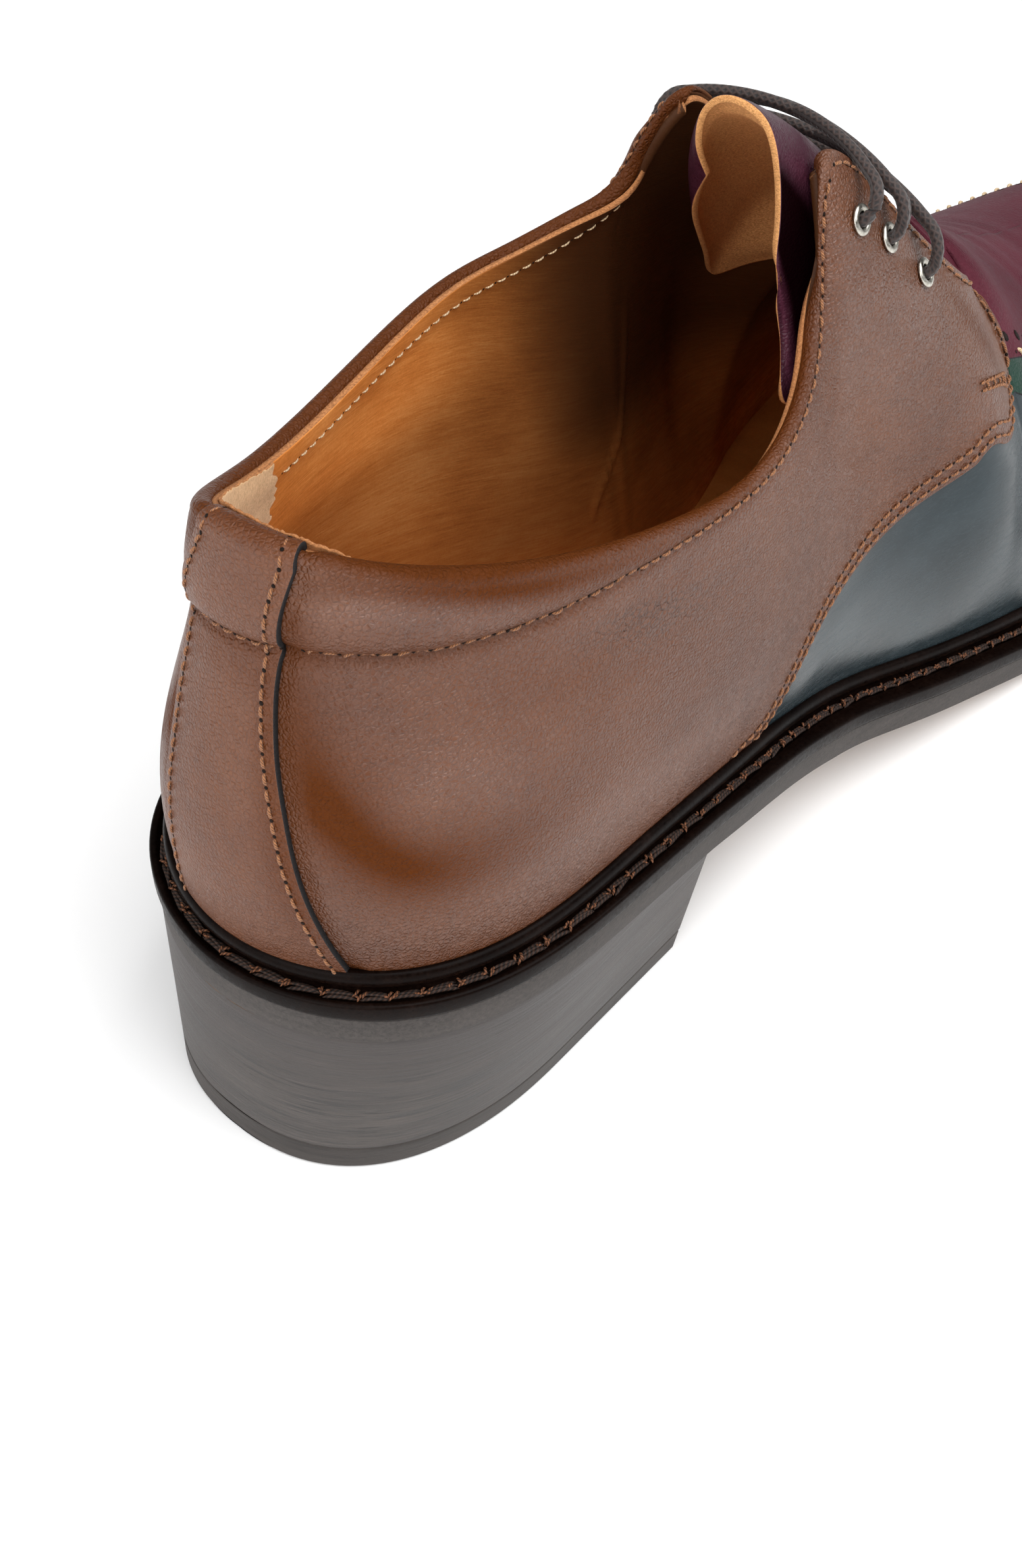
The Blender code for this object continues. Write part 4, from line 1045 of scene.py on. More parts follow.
def border_rows(side):
    """Two rows along the lower front border and one up the facing."""
    p = quarters[side][2]
    n = p.shape[1] - ROLL
    tree = quarter_trees[side]

    def inset(border, inner, amount):
        along = unit(np.gradient(border, axis=0))
        way = unit(inner - border)
        return border + amount * unit(way - (way * along).sum(-1, keepdims=True) * along)

    ahead = int(np.argmax(p[:, 0, 0] > 72))
    for amount, drop in ((1.1, 3), (3.15, 6)):
        line = inset(p[ahead:, 0], p[ahead:, 6], amount)[:-drop]
        above = line[:, 2] - welt_top(line[:, 0]) > BEAD_H + 0.15
        line = line[int(np.argmax(above)) :]
        sewing.row("thread", line, tree, 2.1, 1.62, 0.47, slant=-0.10 * side, hole=0.54)
    front = inset(p[-1, :n], p[-9, :n], 0.85)[2:-2]
    facing = np.arange(p.shape[0]) >= int(0.74 * (p.shape[0] - 1))
    rise = inset(p[:, n - 1][facing][::-1], p[:, n - 9][facing][::-1], 1.3)[4:]
    sewing.row("thread", np.concatenate([front, rise]), tree, 2.6, 2.1, 0.52, slant=0.0)


for side in (-1, 1):
    border_rows(side)

# bar tack by the lower corner of the facing
BAR_TACK = (
    ((9.464, 0.758), (9.582, 0.777), (9.727, 0.794), (9.954, 0.803), (10.40, 0.742)),
    ((9.472, 0.744), (9.578, 0.760), (9.705, 0.774), (9.879, 0.784), (10.329, 0.728)),
)
for side in (-1, 1):
    for row in BAR_TACK:
        s, v = np.array(row).T
        sewing.row("thread", catmull(shell(s, v, side), 30), quarter_trees[side], 1.5, 1.25, 0.50, slant=0.25, hole=0.4)
    lines = [catmull(shell(*np.array(row).T, side), 40) for row in BAR_TACK]
    for k in (5, 12, 19, 26, 33):
        sewing.row("thread", np.stack([lines[0][k], lines[1][k]]), quarter_trees[side], 9.0, 9.0, 0.46, 0.42, slant=0.2, hole=0.0)

# ---------------------------------------------------------------- vamp
VAMP_T = 1.0
BAND_LOW = spline(*zip(*((7.5, 0.80), (10.0, 0.72), (10.45, 0.665), (10.8, 0.603), (11.1, 0.556), (11.5, 0.546), (12, 0.545), (13, 0.545), (14, 0.57), (15, 0.625), (16, 0.68), (17, 0.71))))
APRON_LINE = spline(*zip(*((7.5, 0.86), (10.0, 0.750), (10.45, 0.705), (10.8, 0.660), (11.03, 0.630), (11.42, 0.615), (12, 0.60), (13, 0.60), (14, 0.625), (15, 0.68), (16, 0.735), (17, 0.765))))


def vamp_rear(v):
    """Where the vamp ends under the quarters."""
    return np.interp(v, (0, 0.13, 0.2, 0.3, 0.42, 0.46, 0.55, 0.65, 0.75, 0.85, 1.0), (3.5, 3.9, 4.3, 4.8, 5.2, 6.6, 8.0, 9.2, 9.7, 9.95, 10.3))


front_edges = {side: np.concatenate([quarters[side][2][-1, : -ROLL], quarters[side][2][quarters[side][3][:, 0] > 4.6][:, 0]]) for side in (-1, 1)}
quarter_cover = {side: tree_of(quarters[side][2].reshape(-1, 3), quads(*quarters[side][2].shape[:2])) for side in (-1, 1)}


def covered(p, o, side):
    """True where the quarter lies over these points."""
    flat, up = p.reshape(-1, 3), o.reshape(-1, 3)
    hit = [quarter_cover[side].ray_cast(Vector(a - 4.0 * b), Vector(b), 9.0)[0] is not None for a, b in zip(flat, up)]
    return np.array(hit).reshape(p.shape[:-1])


def flex(p):
    """Wear creases across the ball of the foot."""
    x, y, z = p[..., 0], p[..., 1], p[..., 2]
    out = np.zeros(x.shape)
    for at, lean, depth, width in ((186, 0.16, 0.30, 2.3), (194.5, 0.12, 0.24, 2.0), (203, 0.20, 0.20, 2.2)):
        line = at + lean * (y - 4) + 1.6 * np.sin(y * 0.16 + at)
        out -= depth * np.exp(-(((x - line) / width) ** 2)) * smooth(6, 20, z - welt_top(x))
        out += 0.5 * depth * np.exp(-(((x - line - 2.3 * width) / (1.5 * width)) ** 2)) * smooth(6, 20, z - welt_top(x))
    return out


def joined(grids, looks, name, thick, which=None, weld=2e-6):
    """Several grids welded along their common borders and thickened inwards."""
    points, faces, start = [], [], 0
    for g, flip in grids:
        n, m = g.shape[:2]
        points.append(g.reshape(-1, 3))
        f = quads(n, m, start)
        faces.append(f[:, ::-1] if flip else f)
        start += n * m
    obj = piece(name, np.concatenate(points), np.concatenate(faces), looks, which, sharp=60)
    bm = bmesh.new()
    bm.from_mesh(obj.data)
    bmesh.ops.remove_doubles(bm, verts=bm.verts, dist=weld)
    bm.to_mesh(obj.data)
    bm.free()
    solid = obj.modifiers.new("wall", "SOLIDIFY")
    solid.thickness, solid.offset, solid.use_even_offset = thick * MM, -1.0, False
    return obj


# rows up the vamp: which part, how far through it, how far the leather stands up
VAMP_ROWS = [(0, k, 0.0) for k in np.linspace(0, 1, 40)] + [(1, k, 0.26) for k in np.linspace(0.03, 1, 10)] + [(2, k, 0.52) for k in np.linspace(0.006, 1, 38)]


def vamp_v(s, part, k):
    """v of a point k of the way through a part of the vamp on section s."""
    low, line = BAND_LOW(np.clip(s, 7.5, LAST)), APRON_LINE(np.clip(s, 7.5, LAST))
    bounds = np.stack([np.zeros_like(line), low, line, np.ones_like(line)], -1)
    a = np.take_along_axis(bounds, part[..., None], -1)[..., 0]
    b = np.take_along_axis(bounds, part[..., None] + 1, -1)[..., 0]
    return a * (1 - k) + b * k


def vamp():
    lift = np.array([r[2] for r in VAMP_ROWS])
    part = np.array([r[0] for r in VAMP_ROWS])
    through = np.array([r[1] for r in VAMP_ROWS])
    face_part = part[1:].copy()
    face_part[np.diff(part) > 0] = 3
    grids, which, apron = [], [], []
    for side in (-1, 1):
        v0 = vamp_v(np.full(len(part), 11.0), part, through)
        k = np.linspace(0, 1, 84)[:, None]
        rear = vamp_rear(v0)[None, :] * (1 - k) + 11.0 * k
        fore = np.broadcast_to(np.linspace(11, LAST, 120)[:, None], (120, len(VAMP_ROWS)))
        for s in (rear, fore):
            v = vamp_v(s, np.broadcast_to(part, s.shape), np.broadcast_to(through, s.shape))
            p, o = shell(s, v, side), outward(s, v, side)
            if s is rear:
                gap = near_line(p, front_edges[side])
                signed = np.where(covered(p, o, side), -gap, gap)
            else:
                signed = near_line(p, front_edges[side])
            base = -0.36 + 0.36 * smooth(0.5, 9.0, signed) - 0.92 * smooth(-0.5, -8.0, signed)
            p = p + o * (base + flex(p) + lift * smooth(-0.5, 7.0, signed) * 0.9 + lift * 0.1)[..., None]
            grids.append((p, side > 0))
            which.append(np.tile(face_part, p.shape[0] - 1))
            if s is fore:
                apron.append(p)
    joined(grids, [TEAL, GREEN, BURGUNDY, BLACK_EDGE], "vamp", VAMP_T, np.concatenate(which))
    return apron


apron_sides = vamp()

# ---------------------------------------------------------------- lining
def lining_rise(s, side):
    """How far the lining's cut edge stands above the top edge, in millimetres."""
    if side > 0:
        return np.interp(s, (0, 7.2, 8.0), (0.62, 0.62, 0.2))
    return np.interp(s, (0, 1.2, 2.2, 4.0, 5.0, 6.0, 6.6, 7.0, 7.4, 8.0), (0.5, 0.1, -1.0, -0.9, -0.25, 0.55, 0.95, 1.9, 2.2, 0.2))


LINING_SEAM = spline(*zip(*((0.0, 6.0), (0.20, 6.1), (0.279, 6.48), (0.325, 7.10), (0.375, 7.48), (0.417, 7.65), (0.6, 7.9), (1.0, 8.1))))


def lining():
    grids = []
    v = np.concatenate([np.linspace(0, 0.94, 62), np.linspace(0.95, 1.0, 9)])
    for side in (-1, 1):
        for lo, hi, count in ((0.0, 8.2, 170), (8.2, 11.0, 36), (11.0, LAST, 40)):
            s, vv = np.meshgrid(np.linspace(lo, hi, count), v, indexing="ij")
            p, o = shell(s, vv, side), outward(s, vv, side)
            axis = np.stack([np.clip(p[..., 0], 0, 222), np.full(s.shape, 3.0), 0.45 * p[..., 2] + 4.0], -1)
            ahead = smooth(8.6, 9.8, s)[..., None]
            o = unit(o * (1 - ahead) + unit(p - axis) * ahead)
            collar = smooth(7.9, 7.3, s) * smooth(0.90, 0.975, vv)
            depth = WALL - 0.1 + 0.50 * smooth(7.9, 7.3, s) + 0.30 * collar
            fold = np.exp(-(((s - LINING_SEAM(vv)) / 0.09) ** 2)) * smooth(0.20, 0.26, vv) * smooth(0.62, 0.45, vv)
            ripple = 0.16 * np.sin(3.1 * s + 9 * vv + 2 * np.sin(1.7 * s)) * smooth(0.95, 0.8, vv)
            depth = depth + 0.55 * fold + ripple * smooth(7.9, 7.0, s) + 2.4 * smooth(8.6, 10.2, s)
            rise = lining_rise(s, side) * smooth(7.9, 7.3, s) * smooth(0.93, 1.0, vv)
            p = p - o * depth[..., None] + rib_up(s, vv, side) * rise[..., None]
            grids.append((p, side > 0))
    return grids


lining_grids = lining()


def make_lining():
    points, faces, lays, shades, start = [], [], [], [], 0
    for g, flip in lining_grids:
        n, m = g.shape[:2]
        points.append(g.reshape(-1, 3))
        f = quads(n, m, start)
        faces.append(f if flip else f[:, ::-1])
        lays.append(np.stack([g[..., 0], run_length(g, 1), np.zeros((n, m))], -1).reshape(-1, 3))
        x, z = g[..., 0], g[..., 2]
        # painted shade and light on the lining: dark deep in the throat under the tongue and facings, lighter high at
        # the back and low in the forepart, a darker band near x = 102 and milder shade elsewhere lower down
        deep = 0.94 * smooth(74, 108, x + 0.25 * (z - 70)) * smooth(36, 62, z + 0.10 * (x - 100))
        deep = np.maximum(deep, 0.40 * smooth(56, 86, x) * smooth(30, 46, z) + 0.25 * smooth(70, 50, z) * smooth(80, 50, x))
        light = 0.86 + 0.90 * smooth(68, 82, z) * smooth(96, 68, x) + smooth(30, 8, z) * smooth(120, 150, x)
        light = light - 0.32 * np.exp(-(((x - 102) / np.where(x < 102, 9.0, 16.0)) ** 2)) * smooth(44, 58, z)
        shades.append(np.clip(1 - (1 - deep) * light / 1.6, 0, 0.98).ravel())
        start += n * m
    points = np.concatenate(points)
    obj = piece("lining", points, np.concatenate(faces), [TAN, RAW], shade=np.concatenate(shades), lay=np.concatenate(lays))
    bm = bmesh.new()
    bm.from_mesh(obj.data)
    bmesh.ops.remove_doubles(bm, verts=bm.verts, dist=2e-6)
    bm.to_mesh(obj.data)
    bm.free()
    solid = obj.modifiers.new("wall", "SOLIDIFY")
    solid.thickness, solid.offset = 0.85 * MM, -1.0
    solid.material_offset_rim = 1
    return obj


lining_piece = make_lining()
for side in (-1, 1):
    grid = lining_grids[0 if side < 0 else 3][0]
    tree = tree_of(grid.reshape(-1, 3), quads(*grid.shape[:2]))

    class Inside:
        def __init__(self, tree):
            self.tree = tree

        def find_nearest(self, p):
            at, n, index, d = self.tree.find_nearest(p)
            middle = Vector((min(max(at.x, 30.0), 215.0), 0.0, at.z))
            return at, (n if n.dot(middle - at) > 0 else -n), index, d

    s = np.linspace(2.25 if side > 0 else 2.0, 7.6, 300)
    v = v_below_top(s, side, 2.4)
    line = shell(s, v, side) - 2.8 * outward(s, v, side)
    sewing.row("cream", line, Inside(tree), 2.2, 1.6, 0.31, 0.24, 0.0, hole=0.34)


def heel_grip():
    """Suede patch inside the back of the collar, its border frayed."""
    v = np.concatenate([np.linspace(0.46, 0.94, 60), np.linspace(0.945, 1.0, 16)])
    ragged = 0.035 * np.sin(v * 83 + 2 * np.sin(v * 37)) + 0.02 * np.sin(v * 211)
    cols = [(1, np.linspace(1, 0.008, 60), 2.10), (-1, np.linspace(0, 1, 46), 1.55)]
    points, outs = [], []
    for side, k, reach in cols:
        kk, vv = np.meshgrid(k, v, indexing="ij")
        s = kk * (reach + ragged[None, :] * kk**6)
        o = outward(s, vv, side)
        collar = smooth(0.90, 0.975, vv)
        fray = 0.16 * np.sin(s * 61 + 2.2 * np.sin(s * 23)) + 0.10 * np.sin(s * 173)
        rise = (0.80 + 0.25 * smooth(1.0, 0.4, s) + fray) if side > 0 else (1.05 + fray - 1.9 * smooth(0.75, 1.45, s))
        depth = WALL + 0.42 + 0.50 + 0.30 * collar
        points.append(shell(s, vv, side) - o * depth[..., None] + rib_up(s, vv, side) * (rise * collar * smooth(0.93, 1.0, vv))[..., None])
        outs.append(-o)
    p, o = np.concatenate(points, 0), np.concatenate(outs, 0)
    return panel("heel_grip", p, o, 0.45, [SUEDE, RAW], 0.2)


heel_grip()

# ---------------------------------------------------------------- tongue
tongue_reach = spline([t[0] for t in TONGUE], [t[1:] for t in TONGUE])
TONGUE_ROWS, HALF, FINE = 11, 7, 8


def tongue_section(s):
    curl = TONGUE_CURL * np.clip((10.5 - s) / 2, 0, 1) * np.linspace(1, 0, HALF) ** 1.5
    depth = (WALL + TONGUE_GAP + curl)[:, None]
    ribs = zip((-1, 1), (np.linspace(reach, 1, HALF) for reach in tongue_reach(s)))
    left, right = (shell(s, v, side) - depth * outward(np.full(HALF, s), v, side) for side, v in ribs)
    if s >= THROAT:
        ridge = (left[-1] + right[-1]) / 2
        line = np.concatenate([left[:-1], ridge[None], right[:-1][::-1]])
    else:
        pull = 0.38 * np.linalg.norm(right[-1] - left[-1])
        a = left[-1] + pull * unit(left[-1] - left[-2])
        b = right[-1] + pull * unit(right[-1] - right[-2])
        t = np.linspace(0, 1, 9)[1:-1, None]
        arch = (1 - t) ** 3 * left[-1] + 3 * t * (1 - t) ** 2 * a + 3 * t**2 * (1 - t) * b + t**3 * right[-1]
        line = np.concatenate([left, arch, right[::-1]])
    return resample(line, count=2 * HALF + 1)


def tongue():
    body = [tongue_section(s) for s in np.linspace(TONGUE[0][0] + 0.25, TONGUE[-1][0], TONGUE_ROWS)]
    border = np.clip(np.linspace(1, -1, 2 * HALF + 1), 0, 1) ** 3
    for k, row in enumerate(body[:3]):
        row[:, 0] -= TONGUE_WING * border * (1 - k / 3)
    rise = unit((body[0] - body[1])[HALF])
    crown = (1 - (np.linspace(-1, 1, 2 * HALF + 1) * 0.98) ** 2) ** 0.25
    for _ in range(3):
        centre = body[0][HALF]
        body.insert(0, centre + (body[0] - centre) * TONGUE_NARROW + rise * TONGUE_TOP / 3 * crown[:, None])
    coarse = np.array(body)
    lean = np.clip(np.linspace(1, -1, 2 * HALF + 1), 0, 1) ** 1.6
    for k, shift in TONGUE_TUCK:
        coarse[k] += shift * lean[:, None] * np.array([-0.637, 0.771, 0.0])
    for k, part in ((2, 0.35), (3, 1.0)):
        coarse[k] += part * lean[:, None] ** 2 * np.array([-1.0, -1.9, -2.0])
    rows, cols = coarse.shape[:2]
    ease = smooth(0.40, 0.62, np.linspace(0, 1, cols))[None, :, None] * np.clip((8 - np.arange(rows)) / 2, 0, 1)[:, None, None]
    for _ in range(8):
        soft = coarse.copy()
        soft[1:-1] = (coarse[:-2] + 2 * coarse[1:-1] + coarse[2:]) / 4
        coarse += ease * (soft - coarse)
    fine = spline(np.arange(rows), coarse)(np.linspace(0, rows - 1, (rows - 1) * FINE + 1))
    fine = spline(np.arange(cols), fine.transpose(1, 0, 2))(np.linspace(0, cols - 1, (cols - 1) * 6 + 1)).transpose(1, 0, 2)
    normal = grid_normals(fine, np.broadcast_to(np.array([0.4, 0, 0.9]), fine.shape))
    across = np.abs(np.linspace(-1, 1, fine.shape[1]))
    column = np.linspace(0, cols - 1, fine.shape[1])[None, :]
    down = np.linspace(0, 1, fine.shape[0])[:, None]
    thick = 0.95 - 0.50 * smooth(1.4, 0.0, down * (rows - 1)) * smooth(1.6, 0.0, column) + (TONGUE_T - 0.95) * smooth(1.0, 0.75, across)[None, :] * smooth(0.0, 0.12, down)
    # painted shade on the tongue, towards a near-black tone: a base of painted shade, a painted highlight strip along
    # the lateral border, darker beside it where the facing shades it and farther down on both sides
    deep = 0.62 - 0.50 * np.exp(-(((column - 0.50) / 0.24) ** 2)) + 0.40 * smooth(0.85, 1.5, column) * smooth(5.8, 4.4, column)
    deep = deep + 0.4 * smooth(2.4, 3.8, down * (rows - 1)) * smooth(0.30, 0.60, across)[None, :]
    obj, points, faces = panel("tongue", fine, normal, thick, [TONGUE_SKIN, TONGUE_EDGE], 0.3, deep)
    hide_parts("tongue")
    return fine, normal


tongue_grid, tongue_normal = tongue()

# ---------------------------------------------------------------- welt
def skin_at(s, side, height):
    """Where the upper's outer face passes a height over the welt's top; height may be a row of heights."""
    fine = np.linspace(0, 0.3, 61)
    line = shell(s, fine, side)
    rise = line[:, 2] - welt_top(line[:, 0])
    return np.stack([np.interp(height, rise, line[:, k]) for k in range(3)], -1)


def welt_profile(s, side):
    base, inward = section(s, side)
    out = np.array([-inward[0], -inward[1], 0.0])
    rim = np.array([base[0], base[1], 0.0])
    w = float(welt_width(base[0]))

    def beside(heights, gaps):
        p = skin_at(s, side, np.asarray(heights)) + np.asarray(gaps)[:, None] * out
        p[:, 2] = welt_top(p[:, 0]) + heights
        return p

    def lip(offs, heights):
        p = rim + np.asarray(offs)[:, None] * out
        p[:, 2] = welt_top(p[:, 0]) + heights
        return p

    foot = min(float(((beside([0.0], [0.1])[0] - rim) * out).sum()) + 1.3, w - 2.2)
    a = np.radians(np.linspace(-58, 122, 17))
    # bead: a round cord against the upper
    bead_h = BEAD_H * 0.56 + BEAD_H * 0.42 * np.sin(a)
    bead_o = -0.10 + BEAD_W * 0.22 + BEAD_W * 0.86 * np.cos(a)
    lip_a = np.radians(np.linspace(0, 90, 6))
    low_a = np.radians(np.linspace(-70, 0, 4))
    return np.concatenate([
        beside([-WELT_T + 0.3], [0.1]),
        lip(w - 0.9 + 0.75 * np.cos(low_a), -WELT_T + 0.75 + 0.75 * np.sin(low_a)),
        lip(w - 0.65 + 0.5 * np.cos(lip_a), -0.42 + 0.5 * np.sin(lip_a)),
        lip([foot + 1.75, foot + 1.45, foot + 1.2, foot + 0.75, foot + 0.25, foot - 0.1], [0.10, -0.12, -0.55, -0.72, -0.72, -0.45]),
        beside(bead_h, bead_o),
        beside([BEAD_H * 0.86, BEAD_H * 0.45], [-0.4, -0.4]),
    ])


def welt():
    stations = around(14)
    loops = np.array([welt_profile(s, side) for s, side in stations])
    n, m = loops.shape[:2]
    obj = piece("welt", loops.reshape(-1, 3), quads(n, m, 0, True, True), [WELTING])
    fix_normals(obj)
    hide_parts("welt")
    groove = (loops[:, 14] + loops[:, 15]) / 2
    return loops, groove


welt_loops, welt_groove = welt()


def welt_seam():
    """Thick waxed stitches lying in the groove: two dark strands between crossing, lighter loops; the loops' lighter
    thread is a painted highlight.
    """
    line = np.concatenate([welt_groove, welt_groove[:1]])
    run = run_length(line)
    total, at = run[-1], 0.0
    while at < total - 2.0:
        x = np.interp(at, run, line[:, 0])
        pitch = (4.6 - 1.0 * smooth(60, 110, x)) * (1 + 0.10 * rng.uniform(-1, 1))
        a, b = (np.array([np.interp(q, run, line[:, i]) for i in range(3)]) for q in (at, min(at + pitch, total)))
        along = unit(b - a)
        z = unit(np.array([0.0, 0.0, 1.0]) - along * along[2])
        y = np.cross(z, along)
        for off, width, up in ((0.36, 0.58, 0.46), (-0.34, 0.62, 0.44), (0.02, 0.46, 0.64)):
            points, faces, lay = stitch_shape(np.linalg.norm(b - a) * (0.98 + rng.normal(0, 0.02)), width, 0.42)
            sewing.add("welt", (points, faces), (a + b) / 2 + y * (off + rng.normal(0, 0.06)) + z * (up + rng.normal(0, 0.05)), along, z, rng.normal(0, 0.09), lay)
        for off, dx, turned, size in ((0.34, 0.0, 0.9, 1.35), (-0.30, 0.25, 0.5, 1.5), (0.10, 0.8, 0.35, 1.3), (0.0, -0.8, 2.75, 1.3)):
            points, faces, lay = stitch_shape(size * rng.uniform(0.75, 1.15), 0.40, 0.34)
            place = a + along * (dx + rng.normal(0, 0.25)) + y * (off + rng.normal(0, 0.10)) + z * (0.66 + rng.normal(0, 0.07))
            sewing.add("knot", (points, faces), place, along, z, turned + rng.normal(0, 0.35), lay)
        at += pitch


welt_seam()

# ---------------------------------------------------------------- sole pieces
def outsole_top(x):
    return welt_top(x) - WELT_T - 0.3


def outsole_under(x):
    return np.maximum(welt_top(x) - WELT_T - 0.3 - OUTSOLE_T, 0.0)


def sole_plate(name, inset, top, bottom, edge_round, looks, node, cells=26, sub=12, crown=0.0):
    """A plate between its side lines, with rounded borders; looks are its edge, its underside and its top."""
    steps = np.linspace(0, LAST, LAST * sub + 1)
    lat, med = (outline(steps, side, welt_width(section(steps, side)[0][..., 0]) - inset) if inset >= 0 else outline(steps, side, np.full(steps.shape, inset)) for side in (-1, 1))
    k = np.linspace(0, 1, cells + 1)[:, None, None]
    plan = lat[None] * (1 - k) + med[None] * k
    n, m = plan.shape[:2]
    hump = crown * (1 - (2 * k[..., 0] - 1) ** 2)
    up = np.concatenate([plan, (top(plan[..., 0]) + hump)[..., None]], -1)
    low = np.concatenate([plan, bottom(plan[..., 0])[..., None]], -1)
    loop = [(0, j) for j in range(m)] + [(n - 1, j) for j in range(m - 2, 0, -1)]
    li, lj = np.array(loop).T
    edge_top, edge_low = up[li, lj], low[li, lj]
    away = np.roll(edge_top[:, :2], -1, 0) - np.roll(edge_top[:, :2], 1, 0)
    away = unit(np.stack([away[:, 1], -away[:, 0]], -1))
    away *= np.sign(((edge_top[:, :2] - plan.reshape(-1, 2).mean(0)) * away).sum(-1).mean())
    away = np.concatenate([away, np.zeros((len(loop), 1))], -1)
    r = edge_round
    rings = []
    for f in np.radians((30, 60, 90)):
        ring = edge_top - away * r * (1 - math.sin(f)) - [0, 0, r * (1 - math.cos(f))]
        rings.append(ring)
    rings.append(np.concatenate([edge_top[:, :2], ((edge_top[:, 2] + edge_low[:, 2]) / 2)[:, None]], -1))
    for f in np.radians((90, 60, 30)):
        ring = edge_low - away * r * (1 - math.sin(f)) + [0, 0, r * (1 - math.cos(f))]
        rings.append(ring)
    up[li, lj] -= away * r
    low[li, lj] -= away * r
    for face in (up, low):
        face[:, 0], face[:, -1] = face[0, 0].copy(), face[0, -1].copy()
    points = np.concatenate([up.reshape(-1, 3), low.reshape(-1, 3), *rings])
    count = len(loop)
    ids = [li * m + lj] + [2 * n * m + q * count + np.arange(count) for q in range(len(rings))] + [n * m + li * m + lj]
    faces, which = [quads(n, m), quads(n, m, n * m)[:, ::-1]], []
    which = [np.full(len(faces[0]), 2), np.full(len(faces[1]), 1)]
    for a, b in zip(ids, ids[1:]):
        f = np.stack([a, np.roll(a, -1), np.roll(b, -1), b], -1)
        faces.append(f)
        which.append(np.zeros(len(f), int))
    obj = piece(name, points, np.concatenate(faces), looks, np.concatenate(which), sharp=50)
    bm = bmesh.new()
    bm.from_mesh(obj.data)
    bmesh.ops.remove_doubles(bm, verts=bm.verts, dist=1e-6)
    bmesh.ops.dissolve_degenerate(bm, edges=bm.edges, dist=1e-7)
    bmesh.ops.recalc_face_normals(bm, faces=bm.faces)
    bm.to_mesh(obj.data)
    bm.free()
    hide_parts(node)
    return obj


sole_plate("outsole", SOLE_INSET, outsole_top, outsole_under, 0.18, [SOLE_EDGE, OUTSOLE_FACE, SOLE_EDGE], "outsole")
sole_plate("insole", -2.75, lambda x: welt_top(x) - WELT_T + INSOLE_T, lambda x: welt_top(x) - WELT_T, 0.6, [TAN, TAN, TAN], "insole")


def seat_half(x, side):
    """Half width of the sole's outline over the heel."""
    s = np.linspace(0, 7, 400)
    line = outline(s, side, welt_width(section(s, side)[0][..., 0]) - SOLE_INSET - 0.06)
    return line[0, 0], np.interp(x, line[:, 0], np.abs(line[:, 1]))


def heel_plan(z, steps, cells):
    k = (np.asarray(z, float) / HEEL_HEAD_Z)[..., None]
    across = np.linspace(-1, 1, cells + 1)[None, :]
    along = np.linspace(0, 1, steps)[:, None] ** 2
    shapes = []
    for size in (HEEL_FOOT, HEEL_HEAD):
        length = size["breast"] - size["back"]
        q = np.clip(along * length / size["round"], 0, 1)
        half = size["half"] * (1 - (1 - q) ** size["power"]) ** (1 / size["power"])
        back = size["back"]
        if size is HEEL_HEAD:
            back = seat_half(0.0, -1)[0]
            length = size["breast"] - back
            sides = [seat_half(back + along * length, side)[1] for side in (-1, 1)]
            half = np.where(across < 0, *sides)
        x = back + along * (length - BREAST_HOLLOW * (1 - across**2) * along**2)
        shapes.append(np.stack(np.broadcast_arrays(x, half * across), -1))
    return shapes[0] * (1 - k) + shapes[1] * k


